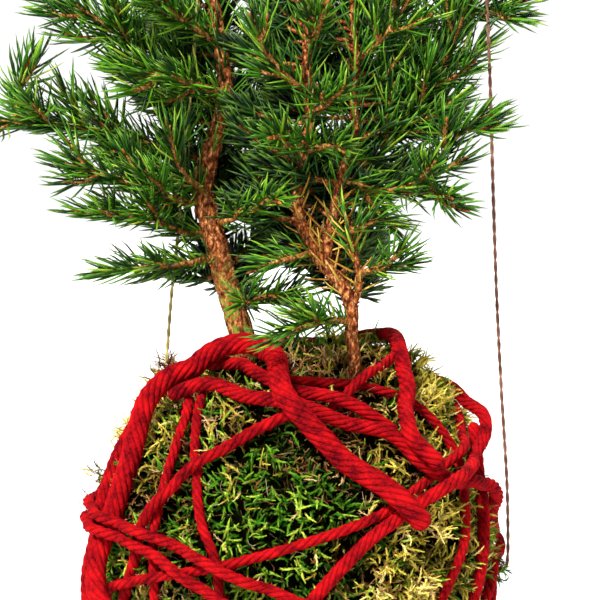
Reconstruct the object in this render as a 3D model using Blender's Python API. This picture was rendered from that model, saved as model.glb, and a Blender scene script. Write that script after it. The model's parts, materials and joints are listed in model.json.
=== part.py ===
"""Kokedama: young spruce stems in a ball of soil and moss, bound with red yarn, with two hanging twines.

All sizes are in millimetres, in a frame at the middle of the ball: +X right, +Y back, +Z up.
The finished objects are moved so that the origin is at the bottom centre of the whole plant.
"""

import math

import bmesh
import bpy
from mathutils import Matrix, Vector

MM = 0.001
PLANT = "kokedama"

# Ball
BALL_RADIUS = 71.0
FOOT_RADIUS = 22.0
MOSS_THICKNESS = 6.0
SOIL_GAP = 0.3
FOOT_DROP = math.sqrt(BALL_RADIUS**2 - FOOT_RADIUS**2)
SOCKET_CLEARANCE = 0.4

# Where the moss stands proud of a true ball or sinks: longitude, latitude, height, spread in degrees.
# Longitude runs from the front (-Y) towards the right (+X).
SWELLS = (
    (85, 64, 6.5, 26),
    (-70, 55, -0.5, 22),
    (150, 50, 3.0, 30),
    (85, 8, -3.0, 26),
    (-85, 5, -1.5, 26),
    (-150, 20, -1.0, 35),
)

# Gaps and steps
REST_GAP = 0.3
STRAND_GAP = 0.75
FINE_STEP = 2.5
SHAPE_TOLERANCE = 0.25
HUMP_REACH = 2.6

# Yarn: name, diameter, route as longitude and latitude on the ball.
# Strands are laid in this order, and each one climbs over those before it.
STRANDS = (
    ("yarn_top_right", 3.4, (
        (-12, 60), (0, 58.5), (14, 57), (28, 55), (40, 51.5), (52, 45.5), (57, 40), (60.5, 33), (61, 27),
        (59, 21.5), (56, 13), (53, 6), (47, -2), (42.5, -9), (36, -18), (28, -30), (18, -42), (2, -53),
        (-35, -59), (-65, -54), (-80, -49),
    )),
    ("yarn_over_shoulder", 3.6, (
        (13, 47), (20, 50), (30, 54.5), (45, 58.5), (60, 61), (80, 62), (105, 60), (126, 51), (140, 36),
        (147, 16), (149, 0), (150, -6),
    )),
    ("yarn_left_upright", 3.5, (
        (-53, 51), (-46, 44.5), (-43, 38), (-41.5, 30), (-41, 20), (-41.3, 12), (-41, 5), (-40.5, -2),
        (-41, -9), (-43, -20), (-46, -33), (-52, -46), (-68, -57), (-110, -61), (-160, -57), (172, -45),
        (163, -28), (158, -12), (156, -4),
    )),
    ("yarn_left_inner", 3.5, (
        (-48, 55), (-41, 46), (-37, 40), (-33, 32), (-30, 26), (-28, 19), (-25.5, 12.5), (-22, 6),
        (-20.5, 0), (-20, -6), (-20, -14), (-19, -26), (-17, -38), (-8, -50), (20, -58), (65, -57),
        (100, -47), (122, -30), (134, -10), (141, 12), (152, 32), (170, 49), (-170, 59), (-160, 63),
    )),
    ("yarn_slanting", 4.0, (
        (3, 47), (-8, 43), (-16, 39), (-22, 34.5), (-28, 29.5), (-33, 25.3), (-38, 19.7), (-42, 14.5),
        (-45, 9), (-47.5, 3), (-51, -4), (-56, -12), (-64, -20), (-80, -25), (-105, -27), (-135, -25),
        (-162, -18), (172, -10), (142, -5), (116, -2), (96, -1), (83, -4), (73, -9), (65, -16), (55, -25),
        (46, -31),
    )),
    ("yarn_long_cross", 3.6, (
        (124, 41), (105, 43), (88, 41), (75, 36), (64, 31.5), (54, 28.5), (45, 25.5), (38, 22.5),
        (31, 19.5), (24, 16), (12, 12), (2, 9), (-8, 6), (-19, 3), (-30, 0.5), (-40, -1.5), (-50, -4),
        (-60, -7), (-75, -12), (-95, -17), (-120, -19), (-145, -15), (-170, -4), (166, 10), (148, 20),
        (134, 32), (126, 39.5),
    )),
    ("rope_upper_pair", 4.6, (
        (36, 38), (30, 42), (22, 45.5), (12, 48.5), (2, 52), (-8, 55), (-18, 59), (-28, 63), (-38, 66),
        (-54, 66), (-74, 65), (-98, 66), (-128, 66), (-148, 57), (-156, 42), (-158, 25), (-157, 5), (-150, -14),
        (-132, -31), (-100, -43), (-62, -49), (-20, -51), (12, -47), (32, -38), (44, -27), (55, -14), (61, -3),
        (66, 7), (71, 16), (75, 25), (77, 31), (79, 36),
    )),
    ("rope_lower_pair", 5.0, (
        (-56, 47), (-48, 51.5), (-38, 53.5), (-25, 52), (-12, 49), (0, 46), (12, 43), (22, 40.2),
        (30, 37.6), (35.5, 33.5), (38.5, 28.5), (43, 25), (50, 22.5), (60, 21.5), (69, 19.5), (78, 15), (92, 8),
        (112, 0), (138, -6), (166, -6), (-165, 0), (-140, 8),
    )),
    ("rope_right_cross", 4.6, (
        (128, 46), (112, 48.5), (96, 46), (84, 38), (74, 31.5), (64, 27.2), (55, 24.5), (46, 22),
        (38, 19), (33, 17), (28, 14.5), (21, 10.5), (15, 5.5), (8, -1.5), (3, -7.5), (-4, -15),
        (-12, -24), (-23, -34), (-40, -43), (-68, -48), (-106, -48), (-142, -43), (-168, -31), (174, -14),
        (170, 5), (162, 25), (148, 40), (131, 45.7),
    )),
    ("rope_round", 5.6, (
        (41, 25), (37.5, 29.5), (35, 35), (38, 41), (45, 47), (53, 54.5), (63, 61), (84, 66), (112, 68),
        (150, 66), (-165, 64), (-125, 62), (-98, 57), (-82, 50), (-76, 41), (-73, 30), (-71, 20),
        (-71.5, 10), (-73, 0), (-71.5, -10), (-73, -20), (-80, -29), (-96, -35), (-120, -36), (-148, -30),
        (-172, -19), (168, -4), (157, 15),
    )),
    ("rope_main", 7.4, (
        (33.5, 11.5), (28.5, 17), (23, 23), (17, 28), (10, 34), (2, 40), (-4, 46), (-6.5, 53), (-9, 60),
        (-17, 66.5), (-31, 70), (-46, 68.5), (-56, 63), (-60, 56), (-61, 48), (-60, 40), (-59, 30),
        (-58.5, 20), (-59, 10), (-57.5, 0), (-54, -10), (-48, -21), (-37, -33), (-15, -43), (8, -45),
    )),
    ("yarn_sash_upper", 4.0, (
        (-114, 18), (-98, 17), (-85, 16), (-73, 14.3), (-62, 12.6), (-52, 11.2), (-42, 9.7), (-36, 8.3),
        (-30, 6.5), (-22, 4), (-17, 1.7), (-10, -1.5), (0, -5), (10, -9.5), (22, -15), (36, -20),
        (52, -21), (70, -18), (90, -11), (110, -2), (131, 8), (155, 17), (180, 21), (-155, 21), (-132, 19.5),
        (-116.5, 18.2),
    )),
    ("yarn_sash_lower", 4.0, (
        (-128, 6), (-100, 9.5), (-82, 10.5), (-70, 10), (-60, 9), (-50, 7.7), (-42, 5.8), (-35, 3),
        (-28, -0.5), (-22, -3.8), (-15, -8), (-6, -13.5), (4, -20), (16, -28), (32, -35), (55, -39),
        (85, -37), (112, -30), (136, -19), (158, -6), (178, 6), (-165, 9), (-145, 8), (-131, 6.3),
    )),
)

# Stems: route points with their radius. The first two points stand in the soil.
STEM_LEFT = (
    ((-15, -5, 51), 4.6), ((-16.5, -5.5, 62), 4.8), ((-18, -6, 73), 5.0), ((-21, -6, 84), 4.8),
    ((-24, -6, 94), 4.6), ((-27, -5, 105), 4.6), ((-30, -3, 117), 4.6), ((-32, -2, 125), 4.2),
    ((-30, -2, 135), 3.8), ((-27, -2, 146), 3.3), ((-24, -2, 158), 3.0), ((-25, -1, 170), 2.8),
    ((-27, 0, 183), 2.5), ((-29.5, 0, 200), 2.2), ((-31, 0, 222), 1.8), ((-32, 0, 242), 1.3),
)
STEM_CENTRE = (
    ((18, -27, 45), 2.6), ((19, -28.5, 56), 2.7), ((20, -30, 67), 2.8), ((19, -30, 76), 2.8),
    ((19, -29, 85), 2.9), ((17, -28, 91), 3.0), ((14, -27, 95), 3.1), ((8, -25, 103), 3.1),
    ((3, -22, 112), 2.6), ((1, -20, 120), 2.3), ((1, -18, 129), 2.2), ((3, -18, 139), 2.2),
    ((5, -17, 149), 2.1), ((4, -15, 170), 2.0), ((5, -13, 183), 1.8), ((7, -10, 204), 1.5),
    ((8, -8, 226), 1.1),
)
STEM_RIGHT = (
    ((10, -26, 100), 2.2), ((12, -24, 112), 2.2), ((15, -22, 127), 1.9), ((17, -20, 134), 1.8),
    ((21, -18, 142), 1.7), ((20, -15, 156), 1.6), ((21, -12, 170), 1.5), ((20, -10, 184), 1.3),
    ((19, -8, 206), 1.0),
)
STEM_SLIM = (
    ((19, -29, 84), 1.4), ((21.5, -30, 92), 1.3), ((21, -31, 100), 1.2), ((18.5, -32, 109), 1.1),
    ((17.5, -32, 117), 0.9),
)
STEM_STEP = 8.0

# Twines: from where they leave the ball up to their knots.
TWINE_DIAMETER = 1.3
TWINE_STEP = 9.0
TWINE_RIGHT = (
    (73.8, -5, -6), (74.1, -6, 3), (73.4, -8.5, 25), (71.2, -12, 55), (69.2, -15, 88), (67.6, -18, 125),
    (66.4, -19.5, 160), (65.2, -20, 190), (65.7, -19, 199.4),
)
TWINE_LEFT = (
    (-45, -0.8, 64.8), (-44.4, -0.5, 72), (-43, 0, 90), (-41, 0, 108), (-38.6, 1, 138), (-36.2, 2, 162),
    (-34.4, 1.2, 183), (-33.4, 0.6, 197.5),
)
KNOT_RIGHT = ((62.6, -18.2, 202), (0.3, -0.05, 0.95), 1.3)
KNOT_LEFT = ((-29.5, 0, 200), (-0.1, 0, 1.0), 2.2)
KNOT_SIZE = 1.7

# Sprays: a twig with its needles, as name, reach of the needles, route from the stem outwards.
TWIG_RADIUS = 0.9
SPRAY_STEP = 6.5
SPRAY_NOTCH = 0.66
ROOM_STEPS = 4
FLAT_SHARE = math.cos(math.pi / 6)  # the flats of a six-sided brush lie this share out
ROOM_SHARE = 0.85
SPRAYS = (
    ("spray_left_1", 8.0, ((-32.5, -9, 101), (-38, -13, 100), (-50, -18, 99), (-65, -20, 97), (-75, -21, 95))),
    ("spray_left_2", 7.5, ((-36, -5, 110), (-42, -8, 112), (-52, -14, 116), (-66, -20, 117), (-76, -22, 118))),
    ("spray_left_3", 8.5, ((-37, -5, 121), (-46, -12, 124), (-63, -18, 130), (-78, -22, 134), (-88, -23, 136))),
    ("spray_left_4", 9.0, ((-34.5, 4, 136), (-46, 8, 140), (-61, 2, 144), (-74, -5, 147), (-88, -10, 148),
                           (-102, -14, 149), (-116, -15, 152))),
    ("spray_left_5", 8.5, ((-95, -12.2, 157), (-94.5, -12.6, 162), (-91.5, -13.6, 168), (-86, -15.5, 173))),
    ("spray_left_6", 9.0, ((-29, 3.5, 154), (-38, 9, 160), (-50, 2, 169), (-64, -8, 181), (-80, -14, 191),
                           (-94, -16, 199))),
    ("spray_left_7", 8.0, ((-34, -8, 127), (-39, -12, 132), (-42, -17, 141), (-45, -22, 155))),
    ("spray_left_8", 8.0, ((-28, -5.5, 160), (-40, -12, 163), (-54, -20, 165), (-68, -26, 166))),
    ("spray_left_9", 8.0, ((-30, -2.5, 178), (-40, -12, 186), (-50, -20, 194), (-58, -26, 202))),
    ("spray_right_1", 8.0, ((19.5, -23, 128), (28, -24, 125), (37, -24, 126), (45, -29, 130), (50, -33, 138),
                            (56, -36, 145), (64, -38, 150), (74, -40, 152))),
    ("spray_right_2", 8.5, ((23.5, -14, 134), (31, -12, 139), (39, -11, 149), (47, -13, 162), (54, -15, 176),
                            (59, -17, 190), (62.6, -18.2, 202), (64, -18.4, 212))),
    ("spray_right_3", 8.0, ((23.5, -12, 157), (36, -4, 165), (50, 3, 176), (62, 7, 189))),
    ("spray_right_4", 8.5, ((55.5, 0, 183.6), (59.5, -6, 186), (67, -12.5, 186), (74, -18, 184), (83, -25, 180))),
    ("spray_right_5", 7.0, ((24.5, -33, 98), (30, -36, 99.5), (38, -38, 101), (47, -40, 103))),
    ("spray_right_6", 7.0, ((48, -35, 122.5), (54, -40, 119.5), (63, -44, 117))),
    ("spray_right_7", 7.5, ((20, -34, 112), (28, -37, 115), (39, -42, 113))),
    ("spray_right_8", 8.0, ((24.2, -12.5, 172), (32, -16, 180), (40, -20, 192), (46, -22, 203))),
    ("spray_front_1", 8.0, ((-1, -22, 139), (-5, -36, 143), (-11, -52, 141))),
    ("spray_front_2", 8.0, ((5.5, -22.5, 139), (13, -38, 140), (18, -54, 136))),
    ("spray_front_3", 8.0, ((7.5, -21, 152), (14, -34, 157), (20, -50, 161))),
    ("spray_front_4", 8.0, ((0.5, -19, 161), (-7, -24, 168), (-13, -30, 178), (-17, -36, 189))),
    ("spray_front_5", 8.0, ((6.5, -18, 177), (9, -32, 183), (12, -48, 190))),
    ("spray_front_6", 7.5, ((1.5, -29, 103), (-6, -33, 101), (-15, -37, 98))),
    ("spray_front_7", 7.5, ((-22.5, -8, 115), (-14, -17, 119), (-8, -29, 122), (-5, -40, 121))),
    ("spray_low_left", 7.5, ((-17, -12, 88), (-12, -18, 88.5), (-6, -25, 89), (1, -31, 88))),
    ("spray_low_right", 8.0, ((15, -33.5, 81.5), (10, -41, 81.5), (3, -50, 80.5), (-4, -58, 77))),
    ("spray_back_1", 8.5, ((-33, 4, 123), (-40, 20, 127), (-49, 42, 131))),
    ("spray_back_2", 8.5, ((-24.5, 3.5, 146), (-19, 24, 152), (-12, 50, 158))),
    ("spray_back_3", 8.5, ((-28, 4, 172), (-37, 20, 180), (-48, 38, 190))),
    ("spray_back_4", 8.5, ((3, -13.5, 126), (8, 8, 132), (15, 36, 137))),
    ("spray_back_5", 8.5, ((5.5, -10.5, 173), (15, 10, 182), (26, 32, 191))),
    ("spray_back_6", 8.5, ((24, -14.5, 144), (38, 2, 148), (54, 20, 152))),
    ("spray_top_1", 8.0, ((-34, 0, 222), (-47, 4, 230), (-62, 8, 238))),
    ("spray_top_2", 8.0, ((-28, -1.5, 224), (-18, -10, 232), (-8, -20, 240))),
    ("spray_top_3", 8.0, ((10, -11.5, 207), (24, -20, 216), (36, -28, 226))),
    ("spray_top_4", 8.0, ((6.5, -6, 205), (2, 10, 214), (-3, 28, 224))),
)

# Leading shoots that go on from the tips of the stems: name, stem, length
LEADERS = (
    ("leader_left", STEM_LEFT, 28.0),
    ("leader_centre", STEM_CENTRE, 28.0),
    ("leader_right", STEM_RIGHT, 28.0),
)
LEADER_REACH = 8.5

# Finishes: colour, roughness
FINISHES = {
    "soil": ((0.05, 0.035, 0.022), 0.95),
    "moss": ((0.16, 0.24, 0.035), 0.9),
    "yarn": ((0.72, 0.006, 0.012), 0.85),
    "bark": ((0.36, 0.18, 0.08), 0.85),
    "needles": ((0.045, 0.16, 0.03), 0.55),
    "twine": ((0.4, 0.27, 0.17), 0.9),
}


def material(slot):
    """The slot's material, made on first use."""
    found = bpy.data.materials.get(slot)
    if found:
        return found
    colour, roughness = FINISHES[slot]
    made = bpy.data.materials.new(slot)
    made.use_nodes = True
    shader = made.node_tree.nodes["Principled BSDF"]
    shader.inputs["Base Color"].default_value = (*colour, 1.0)
    shader.inputs["Roughness"].default_value = roughness
    shader.inputs["Metallic"].default_value = 0.0
    made.diffuse_color = (*colour, 1.0)
    return made


def new_collection(name):
    made = bpy.data.collections.new(name)
    bpy.context.scene.collection.children.link(made)
    return made


def add_object(name, data, slot, home):
    """Link an object of this mesh or curve, with its material, into a collection."""
    ob = bpy.data.objects.new(name, data)
    data.materials.append(material(slot))
    home.objects.link(ob)
    return ob


# Curves

def smooth_samples(points, step):
    """Evenly spaced points, about a step apart, on a smooth curve through the route points."""
    ends = [points[0] * 2 - points[1], *points, points[-1] * 2 - points[-2]]
    fine = []
    for a, b, c, d in zip(ends, ends[1:], ends[2:], ends[3:]):
        count = max(4, math.ceil((c - b).length / 0.5))
        for k in range(count):
            t = k / count
            fine.append(0.5 * (2 * b + (c - a) * t + (2 * a - 5 * b + 4 * c - d) * t**2
                               + (3 * b - a - 3 * c + d) * t**3))
    fine.append(points[-1].copy())
    along = [0.0]
    for before, after in zip(fine, fine[1:]):
        along.append(along[-1] + (after - before).length)
    count = max(2, round(along[-1] / step))
    samples = []
    place = 0
    for k in range(count + 1):
        target = along[-1] * k / count
        while place < len(along) - 2 and along[place + 1] < target:
            place += 1
        part = (target - along[place]) / max(along[place + 1] - along[place], 1e-9)
        samples.append(fine[place].lerp(fine[place + 1], min(part, 1.0)))
    return samples


def tube(name, points, radii, slot, home, fineness=1):
    """A round tube of varying radius through these points, with closed ends."""
    data = bpy.data.curves.new(name, "CURVE")
    data.dimensions = "3D"
    data.bevel_depth = MM
    data.bevel_resolution = fineness
    data.use_fill_caps = True
    spline = data.splines.new("POLY")
    spline.points.add(len(points) - 1)
    for place, point, radius in zip(spline.points, points, radii):
        place.co = (*(point * MM), 1.0)
        place.radius = radius
    return add_object(name, data, slot, home)


def as_mesh(ob):
    """Turn a curve object into a clean mesh object with the same name."""
    name, slot, home = ob.name, ob.data.materials[0].name, ob.users_collection[0]
    bpy.context.view_layer.update()
    data = bpy.data.meshes.new_from_object(ob.evaluated_get(bpy.context.evaluated_depsgraph_get()))
    bpy.data.objects.remove(ob)
    work = bmesh.new()
    work.from_mesh(data)
    bmesh.ops.remove_doubles(work, verts=work.verts, dist=1e-6)
    bmesh.ops.recalc_face_normals(work, faces=work.faces)
    work.to_mesh(data)
    work.free()
    data.materials.clear()
    return add_object(name, data, slot, home)


def combine(target, other, operation):
    """Apply an exact Boolean of another object to the target's mesh."""
    step = target.modifiers.new(operation.lower(), "BOOLEAN")
    step.operation = operation
    step.solver = "EXACT"
    step.object = other
    bpy.context.view_layer.update()
    graph = bpy.context.evaluated_depsgraph_get()
    data = bpy.data.meshes.new_from_object(target.evaluated_get(graph))
    target.modifiers.clear()
    target.data = data


# Ball

def direction(longitude, latitude):
    """Unit vector from the ball's middle."""
    lon, lat = math.radians(longitude), math.radians(latitude)
    return Vector((math.cos(lat) * math.sin(lon), -math.cos(lat) * math.cos(lon), math.sin(lat)))


SWELL_TERMS = [(direction(lon, lat), height, math.radians(spread)) for lon, lat, height, spread in SWELLS]


def swell(unit):
    """How far the moss stands out of the true ball in this direction."""
    return sum(height * math.exp(-((unit.angle(centre) / spread) ** 2)) for centre, height, spread in SWELL_TERMS)


def lumpy_ball(name, radius, segments, rings, slot, home):
    """A closed ball that follows the moss's swells."""
    work = bmesh.new()
    bmesh.ops.create_uvsphere(work, u_segments=segments, v_segments=rings, radius=1.0)
    for vert in work.verts:
        unit = vert.co.normalized()
        vert.co = unit * (radius + swell(unit)) * MM
    bmesh.ops.triangulate(work, faces=work.faces, quad_method="FIXED")
    data = bpy.data.meshes.new(name)
    work.to_mesh(data)
    work.free()
    return add_object(name, data, slot, home)


def cut_foot(ob):
    """Cut the ball off flat at the foot."""
    work = bmesh.new()
    work.from_mesh(ob.data)
    everything = work.verts[:] + work.edges[:] + work.faces[:]
    bmesh.ops.bisect_plane(work, geom=everything, plane_co=(0, 0, -FOOT_DROP * MM), plane_no=(0, 0, -1),
                           clear_outer=True)
    bmesh.ops.holes_fill(work, edges=[edge for edge in work.edges if edge.is_boundary])
    bmesh.ops.recalc_face_normals(work, faces=work.faces)
    work.to_mesh(ob.data)
    work.free()


def socket_cutter(name, stem, home):
    """A tube a little wider and deeper than the foot of a stem."""
    foot = [Vector(place) for place, _ in stem[:4]]
    radii = [radius + SOCKET_CLEARANCE for _, radius in stem[:4]]
    foot[0] += (foot[0] - foot[1]).normalized() * SOCKET_CLEARANCE
    cutter = as_mesh(tube(name, foot, radii, "soil", home, 3))
    cutter.hide_render = True
    cutter.display_type = "WIRE"
    return cutter


def make_ball(parts, cutters):
    """Soil ball with sockets for the stems, and the moss sheet round it with the stems' holes."""
    sockets = [socket_cutter("socket_left", STEM_LEFT, cutters), socket_cutter("socket_right", STEM_CENTRE, cutters)]
    soil = lumpy_ball("soil_ball", BALL_RADIUS - MOSS_THICKNESS - SOIL_GAP, 20, 12, "soil", parts)
    moss = lumpy_ball("moss_cover", BALL_RADIUS, 32, 18, "moss", parts)
    cut_foot(moss)
    hollow = lumpy_ball("moss_hollow", BALL_RADIUS - MOSS_THICKNESS, 20, 12, "moss", cutters)
    hollow.hide_render = True
    hollow.display_type = "WIRE"
    combine(moss, hollow, "DIFFERENCE")
    for socket in sockets:
        combine(moss, socket, "DIFFERENCE")
        combine(soil, socket, "DIFFERENCE")
    for ob in (soil, moss):
        ob.data.polygons.foreach_set("use_smooth", [True] * len(ob.data.polygons))


# Stems

def stem_tube(name, stem, home):
    """A tapering stem through its route points."""
    points = [Vector(place) for place, _ in stem]
    samples = smooth_samples(points, STEM_STEP)
    radii = []
    for sample in samples:
        near = min(range(len(points) - 1), key=lambda k: distance_to_run(sample, points[k], points[k + 1]))
        run = points[near + 1] - points[near]
        part = min(1.0, max(0.0, (sample - points[near]).dot(run) / run.length_squared))
        radii.append(stem[near][1] * (1 - part) + stem[near + 1][1] * part)
    ob = tube(name, samples, radii, "bark", home, 2)
    return ob, with_between(samples, radii, 8)


def distance_to_run(point, start, end):
    """Distance from a point to the straight run between two others."""
    run = end - start
    part = min(1.0, max(0.0, (point - start).dot(run) / run.length_squared))
    return (point - start - run * part).length


def make_stems(parts):
    """The left stem, and the right stem with its forks as one piece."""
    _, left = stem_tube("stem_left", STEM_LEFT, parts)
    centre, around = stem_tube("stem_right", STEM_CENTRE, parts)
    centre = as_mesh(centre)
    solid = left + around
    for name, stem in (("fork_right", STEM_RIGHT), ("fork_slim", STEM_SLIM)):
        fork, along = stem_tube(name, stem, parts)
        fork = as_mesh(fork)
        combine(centre, fork, "UNION")
        bpy.data.objects.remove(fork)
        solid += along
    centre.data.polygons.foreach_set("use_smooth", [True] * len(centre.data.polygons))
    return solid


# Yarn

def needed_height(unit, radius, laid):
    """Height of a strand's axis that clears every strand laid before it, or zero."""
    need = 0.0
    for other, height, other_radius in laid:
        reach = radius + other_radius + STRAND_GAP
        sideways = (unit - other).length * height
        if sideways < reach:
            need = max(need, height + math.sqrt(reach**2 - sideways**2))
    return need


def lay_strand(diameter, route, laid):
    """Axis points of a strand on the ball, arched over the strands below it."""
    radius = diameter / 2
    flat = smooth_samples([direction(*place) * BALL_RADIUS for place in route], FINE_STEP)
    units = [point.normalized() for point in flat]
    rest = [BALL_RADIUS + swell(unit) + radius + REST_GAP for unit in units]
    need = [max(height, needed_height(unit, radius, laid)) for unit, height in zip(units, rest)]
    spread = HUMP_REACH * (diameter + 3.0)
    span = math.ceil(spread / FINE_STEP)
    heights = []
    for k, height in enumerate(rest):
        for j in range(max(0, k - span), min(len(rest), k + span + 1)):
            share = min(1.0, abs(j - k) * FINE_STEP / spread)
            height = max(height, rest[k] + (need[j] - rest[j]) * math.cos(share * math.pi / 2) ** 2)
        heights.append(height)
    laid.extend((unit, height, radius) for unit, height in zip(units, heights))
    return [unit * height for unit, height in zip(units, heights)]


def thinned(points, longest):
    """Leave out the points that the run between their neighbours already passes close to."""
    kept = [0]
    place = 0
    while place < len(points) - 1:
        end = place + 1
        while end + 1 < len(points) and (points[end + 1] - points[place]).length <= longest:
            between = points[place + 1:end + 1]
            if max(distance_to_run(p, points[place], points[end + 1]) for p in between) > SHAPE_TOLERANCE:
                break
            end += 1
        kept.append(end)
        place = end
    return [points[k] for k in kept]


def make_yarn(parts):
    """Every strand of the binding, in the order it was wound."""
    laid = []
    solid = []
    for name, diameter, route in STRANDS:
        axis = lay_strand(diameter, route, laid)
        points = thinned(axis, 3 * diameter)
        tube(name, points, [diameter / 2] * len(points), "yarn", parts, 2 if diameter > 5 else 1)
        solid += [(point, diameter / 2) for point in axis]
    return solid


# Twines

def make_knot(name, knot, parts):
    """A ring round a twig or stem with the knot's lump on its outer side."""
    centre, axis, held_radius = knot
    minor = TWINE_DIAMETER / 2
    major = held_radius + minor + REST_GAP
    turn = Vector((0, 0, 1)).rotation_difference(Vector(axis)).to_matrix().to_4x4()
    place = Matrix.Translation(Vector(centre) * MM)
    bpy.ops.mesh.primitive_torus_add(major_segments=12, minor_segments=6, major_radius=major * MM,
                                     minor_radius=minor * MM)
    ring = bpy.context.active_object
    ring.name = name
    ring.data.transform(place @ turn)
    side = 1.0 if centre[0] > 0 else -1.0
    lump_at = Vector(centre) + Vector((side * (major + 0.75 * KNOT_SIZE), -0.2 * KNOT_SIZE, 0))
    bpy.ops.mesh.primitive_ico_sphere_add(subdivisions=2, radius=KNOT_SIZE * MM, location=lump_at * MM)
    lump = bpy.context.active_object
    combine(ring, lump, "UNION")
    bpy.data.objects.remove(lump)
    ring.data.materials.clear()
    ring.data.materials.append(material("twine"))
    for home in list(ring.users_collection):
        home.objects.unlink(ring)
    parts.objects.link(ring)
    angles = [k * math.pi / 6 for k in range(12)]
    loop = [Vector((math.cos(a) * major, math.sin(a) * major, 0)) for a in angles]
    return [(turn @ point + Vector(centre), minor) for point in loop] + [(lump_at, KNOT_SIZE)]


def make_twines(parts):
    """Both hanging twines and the knots that they end in."""
    solid = []
    for name, route, knot in (("twine_right", TWINE_RIGHT, KNOT_RIGHT), ("twine_left", TWINE_LEFT, KNOT_LEFT)):
        points = smooth_samples([Vector(place) for place in route], TWINE_STEP)
        tube(name, points, [TWINE_DIAMETER / 2] * len(points), "twine", parts)
        fine = smooth_samples([Vector(place) for place in route], FINE_STEP)
        solid += [(point, TWINE_DIAMETER / 2) for point in fine]
        solid += make_knot(name + "_knot", knot, parts)
    return solid


# Sprays

def room_round(point, solid):
    """Clear distance from a point to the nearest solid or to the moss."""
    free = point.length - BALL_RADIUS - swell(point.normalized())
    for other, radius in solid:
        free = min(free, (point - other).length - radius)
    return free


def seated(start, ahead, bearers):
    """The place beside a start point where a twig's end meets the bark or the needles that bear it."""
    axis, radius = min(bearers, key=lambda item: (start - item[0]).length - item[1])
    outwards = (start - axis).normalized()
    lean = math.sqrt(max(0.0, 1 - (ahead - start).normalized().dot(outwards) ** 2))
    return axis + outwards * (radius + REST_GAP + TWIG_RADIUS * lean)


def with_between(points, radii, steps):
    """The tube's points and radii with others between them."""
    between = []
    for a, b, ra, rb in zip(points, points[1:], radii, radii[1:]):
        between += [(a.lerp(b, k / steps), ra + (rb - ra) * k / steps) for k in range(steps)]
    return between + [(points[-1], radii[-1])]


def make_spray(name, reach, points, solid, parts):
    """A twig with its needles: a notched brush that narrows where something else is close."""
    last = len(points) - 1
    fine = [point for point, _ in with_between(points, [0.0] * len(points), ROOM_STEPS)]
    room = [room_round(point, solid) for point in fine]
    radii = []
    for k in range(len(points)):
        part = k / last
        swelling = min(1.0, 0.35 + 1.6 * part) * (1.0 if part < 0.8 else 1.0 - 2.6 * (part - 0.8))
        wanted = reach * swelling * (SPRAY_NOTCH if k % 2 else 1.0)
        near = room[max(0, (k - 1) * ROOM_STEPS):(k + 1) * ROOM_STEPS + 1]
        radii.append(max(TWIG_RADIUS, min(wanted, ROOM_SHARE * min(near) - REST_GAP)))
    radii[0] = TWIG_RADIUS
    tube(name, points, radii, "needles", parts)
    return with_between(points, radii, ROOM_STEPS)


def make_sprays(solid, stems, parts):
    """The leading shoots, then every side spray from its seat outwards."""
    bearers = list(stems)
    for name, stem, length in LEADERS:
        tip = Vector(stem[-1][0])
        along = (tip - Vector(stem[-2][0])).normalized()
        count = round(length / SPRAY_STEP)
        points = [tip + along * (REST_GAP + length * k / count) for k in range(count + 1)]
        solid += make_spray(name, LEADER_REACH, points, solid, parts)
    for name, reach, places in SPRAYS:
        route = [Vector(place) for place in places]
        route[0] = seated(route[0], route[1], bearers)
        spray = make_spray(name, reach, smooth_samples(route, SPRAY_STEP), solid, parts)
        solid += spray
        bearers += [(point, radius * FLAT_SHARE) for point, radius in spray]


# The whole plant

def box_of(objects):
    """Lowest and highest corner of the evaluated objects, in metres."""
    bpy.context.view_layer.update()
    graph = bpy.context.evaluated_depsgraph_get()
    low = Vector((1e9, 1e9, 1e9))
    high = -low
    for ob in objects:
        shape = ob.evaluated_get(graph)
        data = shape.to_mesh()
        for vert in data.vertices:
            place = ob.matrix_world @ vert.co
            low = Vector(map(min, low, place))
            high = Vector(map(max, high, place))
        shape.to_mesh_clear()
    return low, high


def stand_on_origin(parts):
    """Parent everything to one empty, placed so that the origin is at the plant's bottom centre."""
    plant = bpy.data.objects.new(PLANT, None)
    parts.objects.link(plant)
    pieces = [ob for ob in parts.objects if ob.type in {"MESH", "CURVE"}]
    low, high = box_of([ob for ob in pieces if not ob.name.startswith("twine")])
    plant.location = (-(low.x + high.x) / 2, -(low.y + high.y) / 2, -low.z)
    for ob in pieces:
        ob.parent = plant
    bpy.context.view_layer.update()
    print("ball centre", [round(value, 6) for value in plant.location])
    print("box", [round(value, 5) for value in high - low])


def build():
    """Make the plant from the soil outwards."""
    for ob in list(bpy.data.objects):
        bpy.data.objects.remove(ob)
    parts = new_collection(PLANT)
    cutters = new_collection("cutters")
    make_ball(parts, cutters)
    stems = make_stems(parts)
    solid = stems + make_yarn(parts) + make_twines(parts)
    make_sprays(solid, stems, parts)
    stand_on_origin(parts)


build()
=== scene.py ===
"""Kokedama: young spruce stems in a moss ball wound with red wool, dressed and set up for the studio.

Shapes are worked out in millimetres from the middle of the ball (+X right, +Y back, +Z up)
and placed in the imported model's frame, in metres, when they become objects.
"""

import json
import logging
import math
from collections.abc import Iterable, Sequence
from dataclasses import dataclass, field, replace
from enum import Enum
from functools import cache, cached_property

import bpy
import numpy as np
from mathutils import Matrix, Vector, noise
from mathutils.kdtree import KDTree


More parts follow.
